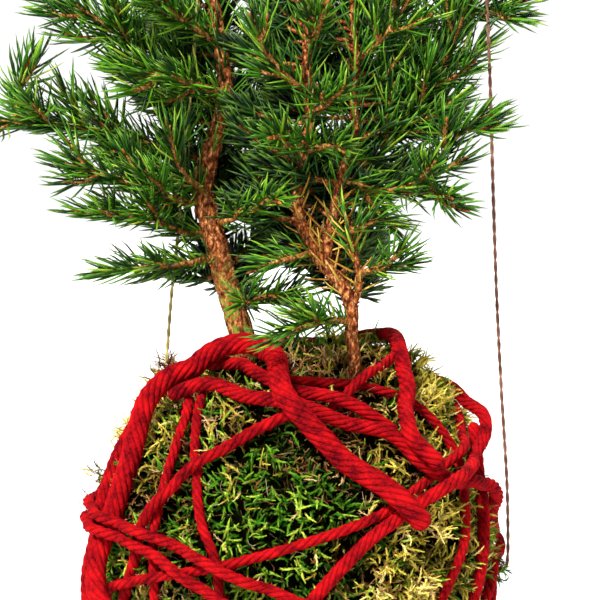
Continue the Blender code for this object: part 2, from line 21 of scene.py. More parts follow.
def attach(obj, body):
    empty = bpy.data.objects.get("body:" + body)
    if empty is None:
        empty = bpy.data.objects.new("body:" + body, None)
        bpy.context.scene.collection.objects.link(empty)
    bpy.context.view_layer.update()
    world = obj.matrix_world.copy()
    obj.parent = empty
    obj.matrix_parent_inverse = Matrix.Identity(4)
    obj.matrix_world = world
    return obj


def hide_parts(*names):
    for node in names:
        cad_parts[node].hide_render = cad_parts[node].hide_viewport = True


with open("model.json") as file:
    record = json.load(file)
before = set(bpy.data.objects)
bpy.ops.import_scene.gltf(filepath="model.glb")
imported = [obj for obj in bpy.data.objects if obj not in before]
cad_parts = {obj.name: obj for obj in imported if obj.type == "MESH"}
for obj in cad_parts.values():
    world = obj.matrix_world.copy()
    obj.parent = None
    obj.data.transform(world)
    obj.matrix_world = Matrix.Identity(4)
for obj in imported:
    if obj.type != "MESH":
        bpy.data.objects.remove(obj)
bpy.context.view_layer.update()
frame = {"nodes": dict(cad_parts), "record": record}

LOG = logging.getLogger("kokedama")

MM = 0.001
BALL_RADIUS = 71.0
FOOT_RADIUS = 22.0
FOOT_DROP = math.sqrt(BALL_RADIUS**2 - FOOT_RADIUS**2)
FOOT_PLACE = frame["record"]["mounts"][0]["pos_m"]
MIDDLE = np.array((FOOT_PLACE[0], FOOT_PLACE[1], FOOT_DROP * MM))
BODY = "root"
SEED = 71
SPRUCE_SEED = 76
GOLDEN_TURN = math.radians(137.508)

# Where the moss stands proud of a true ball or sinks: longitude, latitude, height, spread in degrees.
SWELLS = (
    (85, 64, 6.5, 26), (-70, 55, -0.5, 22), (150, 50, 3.0, 30), (85, 8, -3.0, 26), (-85, 5, -1.5, 26),
    (-150, 20, -1.0, 35),
)

# Yarn: name, diameter, route as longitude and latitude on the ball, in the order of winding.
STRANDS = (
    ("yarn_top_right", 3.4, (
        (-12, 60), (0, 58.5), (14, 57), (28, 55), (40, 51.5), (52, 45.5), (57, 40), (60.5, 33), (61, 27),
        (59, 21.5), (56, 13), (53, 6), (47, -2), (42.5, -9), (36, -18), (28, -30), (18, -42), (2, -53),
        (-35, -59), (-65, -54), (-80, -49),
    )),
    ("yarn_over_shoulder", 3.6, (
        (13, 47), (20, 50), (30, 54.5), (45, 58.5), (60, 61), (80, 62), (105, 60), (126, 51), (140, 36),
        (147, 16), (149, 0), (150, -6),
    )),
    ("yarn_left_upright", 3.5, (
        (-53, 51), (-46, 44.5), (-43, 38), (-41.5, 30), (-41, 20), (-41.3, 12), (-41, 5), (-40.5, -2),
        (-41, -9), (-43, -20), (-46, -33), (-52, -46), (-68, -57), (-110, -61), (-160, -57), (172, -45),
        (163, -28), (158, -12), (156, -4),
    )),
    ("yarn_left_inner", 3.5, (
        (-48, 55), (-41, 46), (-37, 40), (-33, 32), (-30, 26), (-28, 19), (-25.5, 12.5), (-22, 6),
        (-20.5, 0), (-20, -6), (-20, -14), (-19, -26), (-17, -38), (-8, -50), (20, -58), (65, -57),
        (100, -47), (122, -30), (134, -10), (141, 12), (152, 32), (170, 49), (-170, 59), (-160, 63),
    )),
    ("yarn_slanting", 4.0, (
        (3, 47), (-8, 43), (-16, 39), (-22, 34.5), (-28, 29.5), (-33, 25.3), (-38, 19.7), (-42, 14.5),
        (-45, 9), (-47.5, 3), (-51, -4), (-56, -12), (-64, -20), (-80, -25), (-105, -27), (-135, -25),
        (-162, -18), (172, -10), (142, -5), (116, -2), (96, -1), (83, -4), (73, -9), (65, -16), (55, -25),
        (46, -31),
    )),
    ("yarn_long_cross", 3.6, (
        (124, 41), (105, 43), (88, 41), (75, 36), (64, 31.5), (54, 28.5), (45, 25.5), (38, 22.5),
        (31, 19.5), (24, 16), (12, 12), (2, 9), (-8, 6), (-19, 3), (-30, 0.5), (-40, -1.5), (-50, -4),
        (-60, -7), (-75, -12), (-95, -17), (-120, -19), (-145, -15), (-170, -4), (166, 10), (148, 20),
        (134, 32), (126, 39.5),
    )),
    ("rope_upper_pair", 4.6, (
        (36, 38), (30, 42), (22, 45.5), (12, 48.5), (2, 52), (-8, 55), (-18, 59), (-28, 63), (-38, 66),
        (-54, 66), (-74, 65), (-98, 66), (-128, 66), (-148, 57), (-156, 42), (-158, 25), (-157, 5), (-150, -14),
        (-132, -31), (-100, -43), (-62, -49), (-20, -51), (12, -47), (32, -38), (44, -27), (55, -14), (61, -3),
        (66, 7), (71, 16), (75, 25), (77, 31), (79, 36),
    )),
    ("rope_lower_pair", 5.0, (
        (-56, 47), (-48, 51.5), (-38, 53.5), (-25, 52), (-12, 49), (0, 46), (12, 43), (22, 40.2),
        (30, 37.6), (35.5, 33.5), (38.5, 28.5), (43, 25), (50, 22.5), (60, 21.5), (69, 19.5), (78, 15), (92, 8),
        (112, 0), (138, -6), (166, -6), (-165, 0), (-140, 8),
    )),
    ("rope_right_cross", 4.6, (
        (128, 46), (112, 48.5), (96, 46), (84, 38), (74, 31.5), (64, 27.2), (55, 24.5), (46, 22),
        (38, 19), (33, 17), (28, 14.5), (21, 10.5), (15, 5.5), (8, -1.5), (3, -7.5), (-4, -15),
        (-12, -24), (-23, -34), (-40, -43), (-68, -48), (-106, -48), (-142, -43), (-168, -31), (174, -14),
        (170, 5), (162, 25), (148, 40), (131, 45.7),
    )),
    ("rope_round", 5.6, (
        (41, 25), (37.5, 29.5), (35, 35), (38, 41), (45, 47), (53, 54.5), (63, 61), (84, 66), (112, 68),
        (150, 66), (-165, 64), (-125, 62), (-98, 57), (-82, 50), (-76, 41), (-73, 30), (-71, 20),
        (-71.5, 10), (-73, 0), (-71.5, -10), (-73, -20), (-80, -29), (-96, -35), (-120, -36), (-148, -30),
        (-172, -19), (168, -4), (157, 15),
    )),
    ("rope_main", 7.4, (
        (33.5, 11.5), (28.5, 17), (23, 23), (17, 28), (10, 34), (2, 40), (-4, 46), (-6.5, 53), (-9, 60),
        (-17, 66.5), (-31, 70), (-46, 68.5), (-56, 63), (-60, 56), (-61, 48), (-60, 40), (-59, 30),
        (-58.5, 20), (-59, 10), (-57.5, 0), (-54, -10), (-48, -21), (-37, -33), (-15, -43), (8, -45),
    )),
    ("yarn_sash_upper", 4.0, (
        (-114, 18), (-98, 17), (-85, 16), (-73, 14.3), (-62, 12.6), (-52, 11.2), (-42, 9.7), (-36, 8.3),
        (-30, 6.5), (-22, 4), (-17, 1.7), (-10, -1.5), (0, -5), (10, -9.5), (22, -15), (36, -20),
        (52, -21), (70, -18), (90, -11), (110, -2), (131, 8), (155, 17), (180, 21), (-155, 21), (-132, 19.5),
        (-116.5, 18.2),
    )),
    ("yarn_sash_lower", 4.0, (
        (-128, 6), (-100, 9.5), (-82, 10.5), (-70, 10), (-60, 9), (-50, 7.7), (-42, 5.8), (-35, 3),
        (-28, -0.5), (-22, -3.8), (-15, -8), (-6, -13.5), (4, -20), (16, -28), (32, -35), (55, -39),
        (85, -37), (112, -30), (136, -19), (158, -6), (178, 6), (-165, 9), (-145, 8), (-131, 6.3),
    )),
)

# Stems: route points with their radius. The first two points stand in the soil.
STEM_LEFT = (
    ((-15, -5, 51), 4.6), ((-16.5, -5.5, 62), 4.8), ((-18, -6, 73), 5.0), ((-21, -6, 84), 4.8),
    ((-24, -6, 94), 4.6), ((-27, -5, 105), 4.6), ((-30, -3, 117), 4.6), ((-32, -2, 125), 4.2),
    ((-30, -2, 135), 3.8), ((-27, -2, 146), 3.3), ((-24, -2, 158), 3.0), ((-25, -1, 170), 2.8),
    ((-27, 0, 183), 2.5), ((-29.5, 0, 200), 2.2), ((-31, 0, 222), 1.8), ((-32, 0, 242), 1.3),
)
STEM_CENTRE = (
    ((18, -27, 45), 2.6), ((19, -28.5, 56), 2.7), ((20, -30, 67), 2.8), ((19, -30, 76), 2.8),
    ((19, -29, 85), 2.9), ((17, -28, 91), 3.0), ((14, -27, 95), 3.1), ((8, -25, 103), 3.1),
    ((3, -22, 112), 2.6), ((1, -20, 120), 2.3), ((1, -18, 129), 2.2), ((3, -18, 139), 2.2),
    ((5, -17, 149), 2.1), ((4, -15, 170), 2.0), ((5, -13, 183), 1.8), ((7, -10, 204), 1.5),
    ((8, -8, 226), 1.1),
)
STEM_RIGHT = (
    ((10, -26, 100), 2.2), ((12, -24, 112), 2.2), ((15, -22, 127), 1.9), ((17, -20, 134), 1.8),
    ((21, -18, 142), 1.7), ((20, -15, 156), 1.6), ((21, -12, 170), 1.5), ((20, -10, 184), 1.3),
    ((19, -8, 206), 1.0),
)
STEM_SLIM = (
    ((19, -29, 84), 1.4), ((21.5, -30, 92), 1.3), ((21, -31, 100), 1.2), ((18.5, -32, 109), 1.1),
    ((17.5, -32, 117), 0.9),
)

# Twines, from where they leave the ball up to their knots, and the knots: middle, axis, held radius.
TWINE_RIGHT = (
    (73.8, -5, -6), (74.1, -6, 3), (73.4, -8.5, 25), (71.2, -12, 55), (69.2, -15, 88), (67.6, -18, 125),
    (66.4, -19.5, 160), (65.2, -20, 190), (65.7, -19, 199.4),
)
TWINE_LEFT = (
    (-45, -0.8, 64.8), (-44.4, -0.5, 72), (-43, 0, 90), (-41, 0, 108), (-38.6, 1, 138), (-36.2, 2, 162),
    (-34.4, 1.2, 183), (-33.4, 0.6, 197.5),
)
KNOT_RIGHT = ((62.6, -18.2, 202), (0.3, -0.05, 0.95), 1.3)
KNOT_LEFT = ((-29.5, 0, 200), (-0.1, 0, 1.0), 2.2)

# Sprays: a twig with its needles, as name, reach of the needles, route from the stem outwards.
SPRAYS = (
    ("left_1", 8.0, ((-32.5, -9, 101), (-38, -13, 100), (-50, -18, 99), (-65, -20, 97), (-75, -21, 95))),
    ("left_2", 7.5, ((-36, -5, 110), (-42, -8, 112), (-52, -14, 116), (-66, -20, 117), (-76, -22, 118))),
    ("left_3", 8.5, ((-37, -5, 121), (-46, -12, 124), (-63, -18, 130), (-78, -22, 134), (-88, -23, 136))),
    ("left_4", 9.0, ((-34.5, 4, 136), (-46, 8, 140), (-61, 2, 144), (-74, -5, 147), (-88, -10, 148),
                     (-102, -14, 149), (-116, -15, 152))),
    ("left_5", 8.5, ((-95, -12.2, 157), (-94.5, -12.6, 162), (-91.5, -13.6, 168), (-86, -15.5, 173))),
    ("left_6", 9.0, ((-29, 3.5, 154), (-38, 9, 160), (-50, 2, 169), (-64, -8, 181), (-80, -14, 191),
                     (-94, -16, 199))),
    ("left_7", 8.0, ((-34, -8, 127), (-39, -12, 132), (-42, -17, 141), (-45, -22, 155))),
    ("left_8", 8.0, ((-28, -5.5, 160), (-40, -12, 163), (-54, -20, 165), (-68, -26, 166))),
    ("left_9", 8.0, ((-30, -2.5, 178), (-40, -12, 186), (-50, -20, 194), (-58, -26, 202))),
    ("right_1", 8.0, ((19.5, -23, 128), (28, -24, 125), (37, -24, 126), (45, -29, 130), (50, -33, 138),
                      (56, -36, 145), (64, -38, 150), (74, -40, 152))),
    ("right_2", 8.5, ((23.5, -14, 134), (31, -12, 139), (39, -11, 149), (47, -13, 162), (54, -15, 176),
                      (59, -17, 190), (62.6, -18.2, 202), (64, -18.4, 212))),
    ("right_3", 8.0, ((23.5, -12, 157), (36, -4, 165), (50, 3, 176), (62, 7, 189))),
    ("right_4", 8.5, ((55.5, 0, 183.6), (59.5, -6, 186), (67, -12.5, 186), (74, -18, 184), (83, -25, 180))),
    ("right_5", 7.0, ((24.5, -33, 98), (30, -36, 99.5), (38, -38, 101), (47, -40, 103))),
    ("right_6", 7.0, ((48, -35, 122.5), (54, -40, 119.5), (63, -44, 117))),
    ("right_7", 7.5, ((20, -34, 112), (28, -37, 115), (39, -42, 113))),
    ("right_8", 8.0, ((24.2, -12.5, 172), (32, -16, 180), (40, -20, 192), (46, -22, 203))),
    ("front_1", 8.0, ((-1, -22, 139), (-5, -36, 143), (-11, -52, 141))),
    ("front_2", 8.0, ((5.5, -22.5, 139), (13, -38, 140), (18, -54, 136))),
    ("front_3", 8.0, ((7.5, -21, 152), (14, -34, 157), (20, -50, 161))),
    ("front_4", 8.0, ((0.5, -19, 161), (-7, -24, 168), (-13, -30, 178), (-17, -36, 189))),
    ("front_5", 8.0, ((6.5, -18, 177), (9, -32, 183), (12, -48, 190))),
    ("front_6", 7.5, ((1.5, -29, 103), (-6, -33, 101), (-15, -37, 98))),
    ("front_7", 7.5, ((-22.5, -8, 115), (-14, -17, 119), (-8, -29, 122), (-5, -40, 121))),
    ("low_left", 7.5, ((-17, -12, 88), (-12, -18, 88.5), (-6, -25, 89), (1, -31, 88))),
    ("low_right", 8.0, ((15, -33.5, 81.5), (10, -41, 81.5), (3, -50, 80.5), (-4, -58, 77))),
    ("back_1", 8.5, ((-33, 4, 123), (-40, 20, 127), (-49, 42, 131))),
    ("back_2", 8.5, ((-24.5, 3.5, 146), (-19, 24, 152), (-12, 50, 158))),
    ("back_3", 8.5, ((-28, 4, 172), (-37, 20, 180), (-48, 38, 190))),
    ("back_4", 8.5, ((3, -13.5, 126), (8, 8, 132), (15, 36, 137))),
    ("back_5", 8.5, ((5.5, -10.5, 173), (15, 10, 182), (26, 32, 191))),
    ("back_6", 8.5, ((24, -14.5, 144), (38, 2, 148), (54, 20, 152))),
    ("top_1", 8.0, ((-34, 0, 222), (-47, 4, 230), (-62, 8, 238))),
    ("top_2", 8.0, ((-28, -1.5, 224), (-18, -10, 232), (-8, -20, 240))),
    ("top_3", 8.0, ((10, -11.5, 207), (24, -20, 216), (36, -28, 226))),
    ("top_4", 8.0, ((6.5, -6, 205), (2, 10, 214), (-3, 28, 224))),
)
LEADERS = (("left", STEM_LEFT), ("centre", STEM_CENTRE), ("right", STEM_RIGHT))
# How some sprays differ from the rest. The right twine is tied on near the tip of right_2.
HABITS = (
    # Back sprays take only the darker needle tints, as painted shade behind the stems.
    (("back",), {"side_every": 4.6, "side_length": 30.0, "tints": (0.0, 0.45)}),
    (("front",), {"side_every": 16.0, "side_length": 12.0, "per_mm": 1.7}),
    (("left_3", "left_4", "left_8"), {"side_every": 6.0, "side_length": 24.0, "swing": 1.3}),
    (("right_2", "right_3", "right_8", "top", "left_6", "left_9"),
     {"side_every": 5.2, "side_length": 24.0, "swing": 0.8}),
    (("right_2",), {"short_by": 4.0}),
    (("low", "left_2", "front_7", "front_6"), {"short_by": 1.5}),
)


Rows = np.ndarray
Stem = Sequence[tuple[tuple[float, float, float], float]]
Patches = Sequence[tuple[float, float, float, float]]


# Shapes


@dataclass
class Shape:
    """Points in millimetres with blocks of faces, and a lay (across, along) at every face corner."""

    points: Rows
    blocks: list[tuple[Rows, Rows]]

    @staticmethod
    def joined(shapes: Iterable["Shape"]) -> "Shape":
        """Many shapes as one.

        Args:
            shapes: The shapes to gather.

        Returns:
            One shape that holds all their points and faces.
        """
        points, blocks, count = [], [], 0
        for shape in shapes:
            points.append(shape.points)
            blocks += [(faces + count, lay) for faces, lay in shape.blocks]
            count += len(shape.points)
        return Shape(np.concatenate(points), blocks)

    def copies(self, turns: Rows, places: Rows, tints: Rows) -> "Shape":
        """Copies of this shape, each with its own points, and its tint as its lay across.

        Args:
            turns: One 3 x 3 matrix for each copy, which may stretch it.
            places: One place for each copy.
            tints: One number from 0 to 1 for each copy.

        Returns:
            One shape that holds every copy.
        """
        count, size = len(places), len(self.points)
        points = np.einsum("nij,vj->nvi", turns, self.points) + places[:, None, :]
        blocks = []
        for faces, lay in self.blocks:
            moved = faces[None] + size * np.arange(count)[:, None, None]
            tinted = np.repeat(lay[None], count, axis=0)
            tinted[..., 0] = tints[:, None, None]
            blocks.append((moved.reshape(-1, faces.shape[1]), tinted.reshape(-1, *lay.shape[1:])))
        return Shape(points.reshape(-1, 3), blocks)

    def as_piece(self, name: str, finish: "Finish", smooth: bool = True) -> bpy.types.Object:
        """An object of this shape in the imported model's frame.

        Args:
            name: Name of the piece.
            finish: What its surface is made of.
            smooth: Whether its faces are shaded smooth.

        Returns:
            The new object, with its lay as a UV map.
        """
        mesh = bpy.data.meshes.new(name)
        faces = [row for block, _ in self.blocks for row in block.tolist()]
        mesh.from_pydata((self.points * MM + MIDDLE).tolist(), [], faces)
        lay = mesh.uv_layers.new(name="Lay")
        corners = np.concatenate([uv.reshape(-1, 2) for _, uv in self.blocks]).astype(np.float32)
        lay.uv.foreach_set("vector", corners.ravel())
        mesh.polygons.foreach_set("use_smooth", [smooth] * len(mesh.polygons))
        mesh.materials.append(finish.material())
        made = bpy.data.objects.new(name, mesh)
        bpy.context.scene.collection.objects.link(made)
        return made


def modelled(ob: bpy.types.Object) -> Shape:
    """The mesh of a modelled pattern piece as a shape, and the piece taken away.

    Args:
        ob: A mesh object modelled along +Z, in millimetres.

    Returns:
        Its shape, whose lay along runs from 0 at the bottom to 1 at the top.
    """
    ob.select_set(True)
    bpy.context.view_layer.objects.active = ob
    bpy.ops.object.transform_apply(location=True, rotation=True, scale=True)
    points = np.array([vert.co for vert in ob.data.vertices])
    along = (points[:, 2] - points[:, 2].min()) / max(np.ptp(points[:, 2]), 1e-9)
    blocks = []
    for sides in sorted({len(face.vertices) for face in ob.data.polygons}):
        faces = np.array([face.vertices[:] for face in ob.data.polygons if len(face.vertices) == sides])
        blocks.append((faces, np.stack([np.zeros(faces.shape), along[faces]], axis=-1)))
    bpy.data.objects.remove(ob)
    return Shape(points, blocks)


def hand_over(piece: bpy.types.Object, node: str = "") -> None:
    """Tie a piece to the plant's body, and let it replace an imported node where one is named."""
    if node:
        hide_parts(node)
    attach(piece, BODY)


def deselect_all() -> None:
    """Leave nothing selected, so that an operator acts on the next piece alone."""
    for ob in bpy.context.selected_objects:
        ob.select_set(False)


def unit(rows: Rows) -> Rows:
    """Each row at length one."""
    return rows / np.maximum(np.linalg.norm(rows, axis=-1, keepdims=True), 1e-12)


def direction(longitude: Rows | float, latitude: Rows | float) -> Rows:
    """Unit directions from the ball's middle; longitude runs from the front towards the right."""
    lon, lat = np.radians(longitude), np.radians(latitude)
    return np.stack([np.cos(lat) * np.sin(lon), -np.cos(lat) * np.cos(lon), np.sin(lat)], axis=-1)


def spread_of(units: Rows, patches: Patches) -> Rows:
    """Sum of soft round patches on the ball.

    Args:
        units: Directions to look in, one a row.
        patches: Longitude, latitude, height and spread in degrees of each patch.

    Returns:
        The summed height in each direction.
    """
    total = np.zeros(len(units))
    for lon, lat, height, spread in patches:
        angle = np.arccos(np.clip(units @ direction(lon, lat), -1, 1))
        total += height * np.exp(-((angle / math.radians(spread)) ** 2))
    return total


def even_samples(points: Rows, step: float) -> Rows:
    """Evenly spaced points on a smooth curve through route points.

    Args:
        points: The route, one point a row.
        step: Wanted distance between samples.

    Returns:
        Samples from the first route point to the last.
    """
    points = np.asarray(points, float)
    ends = np.vstack([2 * points[0] - points[1], points, 2 * points[-1] - points[-2]])
    fine = []
    for a, b, c, d in zip(ends, ends[1:], ends[2:], ends[3:]):
        t = np.linspace(0, 1, max(4, math.ceil(np.linalg.norm(c - b) / 0.4)), endpoint=False)[:, None]
        fine.append(0.5 * (2 * b + (c - a) * t + (2 * a - 5 * b + 4 * c - d) * t**2
                           + (3 * b - a - 3 * c + d) * t**3))
    fine = np.vstack([*fine, points[-1:]])
    along = np.concatenate([[0], np.cumsum(np.linalg.norm(np.diff(fine, axis=0), axis=1))])
    wanted = np.linspace(0, along[-1], max(2, round(along[-1] / step)) + 1)
    return np.stack([np.interp(wanted, along, fine[:, k]) for k in range(3)], axis=1)


def run_along(points: Rows) -> Rows:
    """Distance along a line of points, from its first."""
    return np.concatenate([[0], np.cumsum(np.linalg.norm(np.diff(points, axis=0), axis=1))])


def headings(points: Rows) -> Rows:
    """Unit direction of travel at each point of a line."""
    return unit(np.gradient(points, axis=0))


def carried_sides(points: Rows) -> tuple[Rows, Rows]:
    """Two directions across a line that turn with it and never twist about it.

    Args:
        points: The line, one point a row.

    Returns:
        The two directions at each point, square to the line and to each other.
    """
    ways = headings(points)
    first = np.cross(ways[0], (0, 0, 1) if abs(ways[0][2]) < 0.9 else (1, 0, 0))
    sides = [unit(first)]
    for way in ways[1:]:
        side = sides[-1] - way * (sides[-1] @ way)
        sides.append(unit(side))
    sides = np.array(sides)
    return sides, np.cross(ways, sides)


def tube(points: Rows, radii: Rows, sides: int, across: tuple[Rows, Rows] | None = None,
         relief: Rows | None = None) -> Shape:
    """A closed round tube through a line of points.

    Args:
        points: The line, one point a row.
        radii: Radius at each point.
        sides: Number of sides.
        across: Two directions across the line at each point; carried along it where not given.
        relief: Extra radius at each point and side.

    Returns:
        The tube, with its lay across as turns and its lay along in millimetres.
    """
    first, second = across or carried_sides(points)
    angles = np.arange(sides) * 2 * math.pi / sides
    spokes = np.cos(angles)[None, :, None] * first[:, None] + np.sin(angles)[None, :, None] * second[:, None]
    reach = np.asarray(radii, float)[:, None] + (0 if relief is None else relief)
    rings = points[:, None] + spokes * reach[..., None]
    count = len(points)
    body = np.vstack([rings.reshape(-1, 3), points[:1], points[-1:]])
    ring, side = np.meshgrid(np.arange(count - 1), np.arange(sides), indexing="ij")
    ring, side = ring.ravel(), side.ravel()
    beside = (side + 1) % sides
    quads = np.stack([ring * sides + side, ring * sides + beside, (ring + 1) * sides + beside,
                      (ring + 1) * sides + side], axis=1)
    along = run_along(points)
    lay = np.stack([np.stack([side, side + 1, side + 1, side], axis=1) / sides,
                    np.stack([along[ring], along[ring], along[ring + 1], along[ring + 1]], axis=1)], axis=-1)
    side = np.arange(sides)
    beside = (side + 1) % sides
    start = np.stack([beside, side, np.full(sides, count * sides)], axis=1)
    end = np.stack([side, beside, np.full(sides, count * sides + 1)], axis=1)
    end[:, :2] += (count - 1) * sides
    cap_lay = np.stack([np.stack([side, side + 1, side + 0.5], axis=1) / sides, np.zeros((sides, 3))], axis=-1)
    end_lay = cap_lay.copy()
    end_lay[..., 1] = along[-1]
    return Shape(body, [(quads, lay), (np.vstack([start, end]), np.concatenate([cap_lay, end_lay]))])


def rounded_ends(points: Rows, radius: float, blunt: float = 1.0) -> Rows:
    """Radius at each point of a tube whose two ends are rounded off.

    Args:
        points: The tube's line.
        radius: Its radius between the ends.
        blunt: Length of each rounding in radii.

    Returns:
        The radius at each point.
    """
    along = run_along(points)
    near = np.minimum(along, along[-1] - along) / (radius * blunt)
    return radius * np.sqrt(np.clip(1 - (1 - np.clip(near, 0, 1)) ** 2, 0.04, 1))


def aimed(ways: Rows, ups: Rows, widths: Rows, lengths: Rows) -> Rows:
    """Matrices that aim copies of a pattern piece modelled along +Z.

    Args:
        ways: Where each copy points.
        ups: Roughly where each copy's +Y side faces.
        widths: Stretch across each copy, as one number or two.
        lengths: Stretch along each copy.

    Returns:
        One 3 x 3 matrix for each copy.
    """
    ways = unit(ways)
    rights = unit(np.cross(ups, ways))
    widths = np.broadcast_to(np.asarray(widths, float).reshape(len(ways), -1), (len(ways), 2))
    over = np.cross(ways, rights)
    return np.stack([rights * widths[:, :1], over * widths[:, 1:], ways * np.asarray(lengths)[:, None]], axis=-1)


# The ball as a shape to build on

@dataclass
class Ball:
    """The moss ball's outline, and what is already laid on and beside it."""

    radius: float = BALL_RADIUS
    swells: Patches = SWELLS
    laid: list[tuple[Rows, float]] = field(default_factory=list)
    tree: KDTree | None = None
    reaches: list[float] = field(default_factory=list)

    def height(self, units: Rows) -> Rows:
        """Distance from the middle to the moss in these directions."""
        return self.radius + spread_of(units, self.swells)

    def lay(self, line: Rows, radius: float) -> None:
        """Remember a strand or a twine, so that moss and needles keep clear of it."""
        self.laid.append((line, radius))
        self.tree = None

    def clearance(self, points: Rows) -> Rows:
        """Distance from each point to the surface of the nearest strand or twine.

        Args:
            points: The points to test, one a row.

        Returns:
            The distance, less than zero inside a strand.
        """
        if self.tree is None:
            self.reaches = [radius for line, radius in self.laid for _ in line]
            self.tree = KDTree(len(self.reaches))
            for place, point in enumerate(np.vstack([line for line, _ in self.laid])):
                self.tree.insert(point, place)
            self.tree.balance()
        found = [self.tree.find(point) for point in points]
        return np.array([distance - self.reaches[place] for _, place, distance in found])


BALL = Ball()


# Finishes

def linear(colour: str) -> tuple[float, float, float, float]:
    """An sRGB hex colour as linear values with full alpha."""
    parts = [int(colour[k:k + 2], 16) / 255 for k in (1, 3, 5)]
    return (*[p / 12.92 if p <= 0.04045 else ((p + 0.055) / 1.055) ** 2.4 for p in parts], 1.0)


@dataclass
class Surface:
    """The nodes of a material while they are put together."""

    tree: bpy.types.NodeTree

    @cached_property
    def shader(self) -> bpy.types.Node:
        """The shader that the nodes feed."""
        return self.tree.nodes["Principled BSDF"]

    @cached_property
    def place(self) -> bpy.types.NodeSocket:
        """Places in the object's own space, in metres."""
        return self.add("ShaderNodeTexCoord").outputs["Object"]

    @cached_property
    def lay(self) -> bpy.types.NodeSocket:
        """The lay: across as X and along as Y."""
        return self.add("ShaderNodeUVMap", uv_map="Lay").outputs["UV"]

    def add(self, kind: str, inputs: dict | None = None, stops: Sequence[tuple[float, str]] = (),
            **settings: object) -> bpy.types.Node:
        """Add a node with its settings, values and links.

        Args:
            kind: Type of node.
            inputs: Socket name or number to a value, or to the socket that feeds it.
            stops: Place and hex colour of each stop, for a colour ramp.
            settings: The node's own properties.

        Returns:
            The new node.
        """
        made = self.tree.nodes.new(kind)
        for name, value in settings.items():
            setattr(made, name, value)
        for name, value in (inputs or {}).items():
            if isinstance(value, bpy.types.NodeSocket):
                self.tree.links.new(value, made.inputs[name])
            else:
                made.inputs[name].default_value = value
        for number, (place, colour) in enumerate(stops):
            elements = made.color_ramp.elements
            element = elements[number] if number < 2 else elements.new(place)
            element.position, element.color = place, linear(colour)
        return made

    def parts(self, vector: bpy.types.NodeSocket) -> bpy.types.NodeOutputs:
        """The X, Y and Z of a vector."""
        return self.add("ShaderNodeSeparateXYZ", {0: vector}).outputs

    def ramp(self, share: bpy.types.NodeSocket, stops: Sequence[tuple[float, str]]) -> bpy.types.NodeSocket:
        """A colour from a ramp."""
        return self.add("ShaderNodeValToRGB", {0: share}, stops).outputs[0]

    def remap(self, value: bpy.types.NodeSocket, low: float, high: float, to_low: float,
              to_high: float) -> bpy.types.NodeSocket:
        """A value carried from one range to another."""
        return self.add("ShaderNodeMapRange", {0: value, 1: low, 2: high, 3: to_low, 4: to_high}).outputs[0]

    def mix(self, share: bpy.types.NodeSocket, first: bpy.types.NodeSocket | tuple,
            second: tuple) -> bpy.types.NodeSocket:
        """The first colour where the share is 0, and the second where it is 1."""
        return self.add("ShaderNodeMix", {0: share, 6: first, 7: second}, data_type="RGBA").outputs[2]

    def math(self, operation: str, first: bpy.types.NodeSocket,
             second: bpy.types.NodeSocket | float) -> bpy.types.NodeSocket:
        """A sum done on values."""
        return self.add("ShaderNodeMath", {0: first, 1: second}, operation=operation).outputs[0]

    def scaled(self, colour: bpy.types.NodeSocket, factor: bpy.types.NodeSocket) -> bpy.types.NodeSocket:
        """A colour made darker or lighter by a factor."""
        return self.add("ShaderNodeVectorMath", {0: colour, 3: factor}, operation="SCALE").outputs[0]

    def noise(self, place: bpy.types.NodeSocket, scale: float, detail: float = 2.0, roughness: float = 0.5,
              distortion: float = 0.0) -> bpy.types.NodeSocket:
        """Cloudy noise between 0 and 1."""
        inputs = {0: place, "Scale": scale, "Detail": detail, "Roughness": roughness, "Distortion": distortion}
        return self.add("ShaderNodeTexNoise", inputs).outputs[0]

    def wear(self, colour: bpy.types.NodeSocket, height: bpy.types.NodeSocket, strength: float,
             depth_mm: float) -> None:
        """Give the shader its colour and its relief."""
        bump = self.add("ShaderNodeBump", {"Height": height, "Strength": strength, "Distance": depth_mm * MM})
        self.tree.links.new(colour, self.shader.inputs["Base Color"])
        self.tree.links.new(bump.outputs[0], self.shader.inputs["Normal"])


@dataclass(frozen=True)
class Finish:
    """What a surface is made of."""

    name: str
    roughness: float
    gloss: float = field(default=0.06, kw_only=True)

    def material(self) -> bpy.types.Material:
        """The finish as a material, made on first use.

        Returns:
            The material, shared by every piece of this finish.
        """
        found = bpy.data.materials.get(self.name)
        if found:
            return found
        made = bpy.data.materials.new(self.name)
        made.use_nodes = True
        surface = Surface(made.node_tree)
        surface.shader.inputs["Roughness"].default_value = self.roughness
        surface.shader.inputs["Specular IOR Level"].default_value = self.gloss
        self.dress(surface)
        return made

    def dress(self, surface: Surface) -> None:
        """Add this finish's nodes; each kind of finish has its own."""
        raise NotImplementedError


@dataclass(frozen=True)
class Leaf(Finish):
    """Living or dried plant skin, tinted piece by piece, with another colour at its foot and tip."""

    tints: Sequence[tuple[float, str]]
    foot: str
    tip: str
    tip_share: float

    def dress(self, surface: Surface) -> None:
        """Colour by tint across the lay, with foot and tip along it, and a fine grain in the surface."""
        lay = surface.parts(surface.lay)
        tint = surface.ramp(lay["X"], self.tints)
        footed = surface.mix(surface.remap(lay["Y"], 0.0, 0.2, 0.8, 0.0), tint, linear(self.foot))
        tipped = surface.mix(surface.remap(lay["Y"], 0.55, 1.0, 0.0, self.tip_share), footed, linear(self.tip))
        # Cell clusters about half a millimetre across give the skin its slight unevenness.
        grain = surface.noise(surface.place, 1900.0)
        surface.wear(surface.scaled(tipped, surface.remap(grain, 0.3, 0.7, 0.72, 1.18)), grain, 0.3, 0.2)


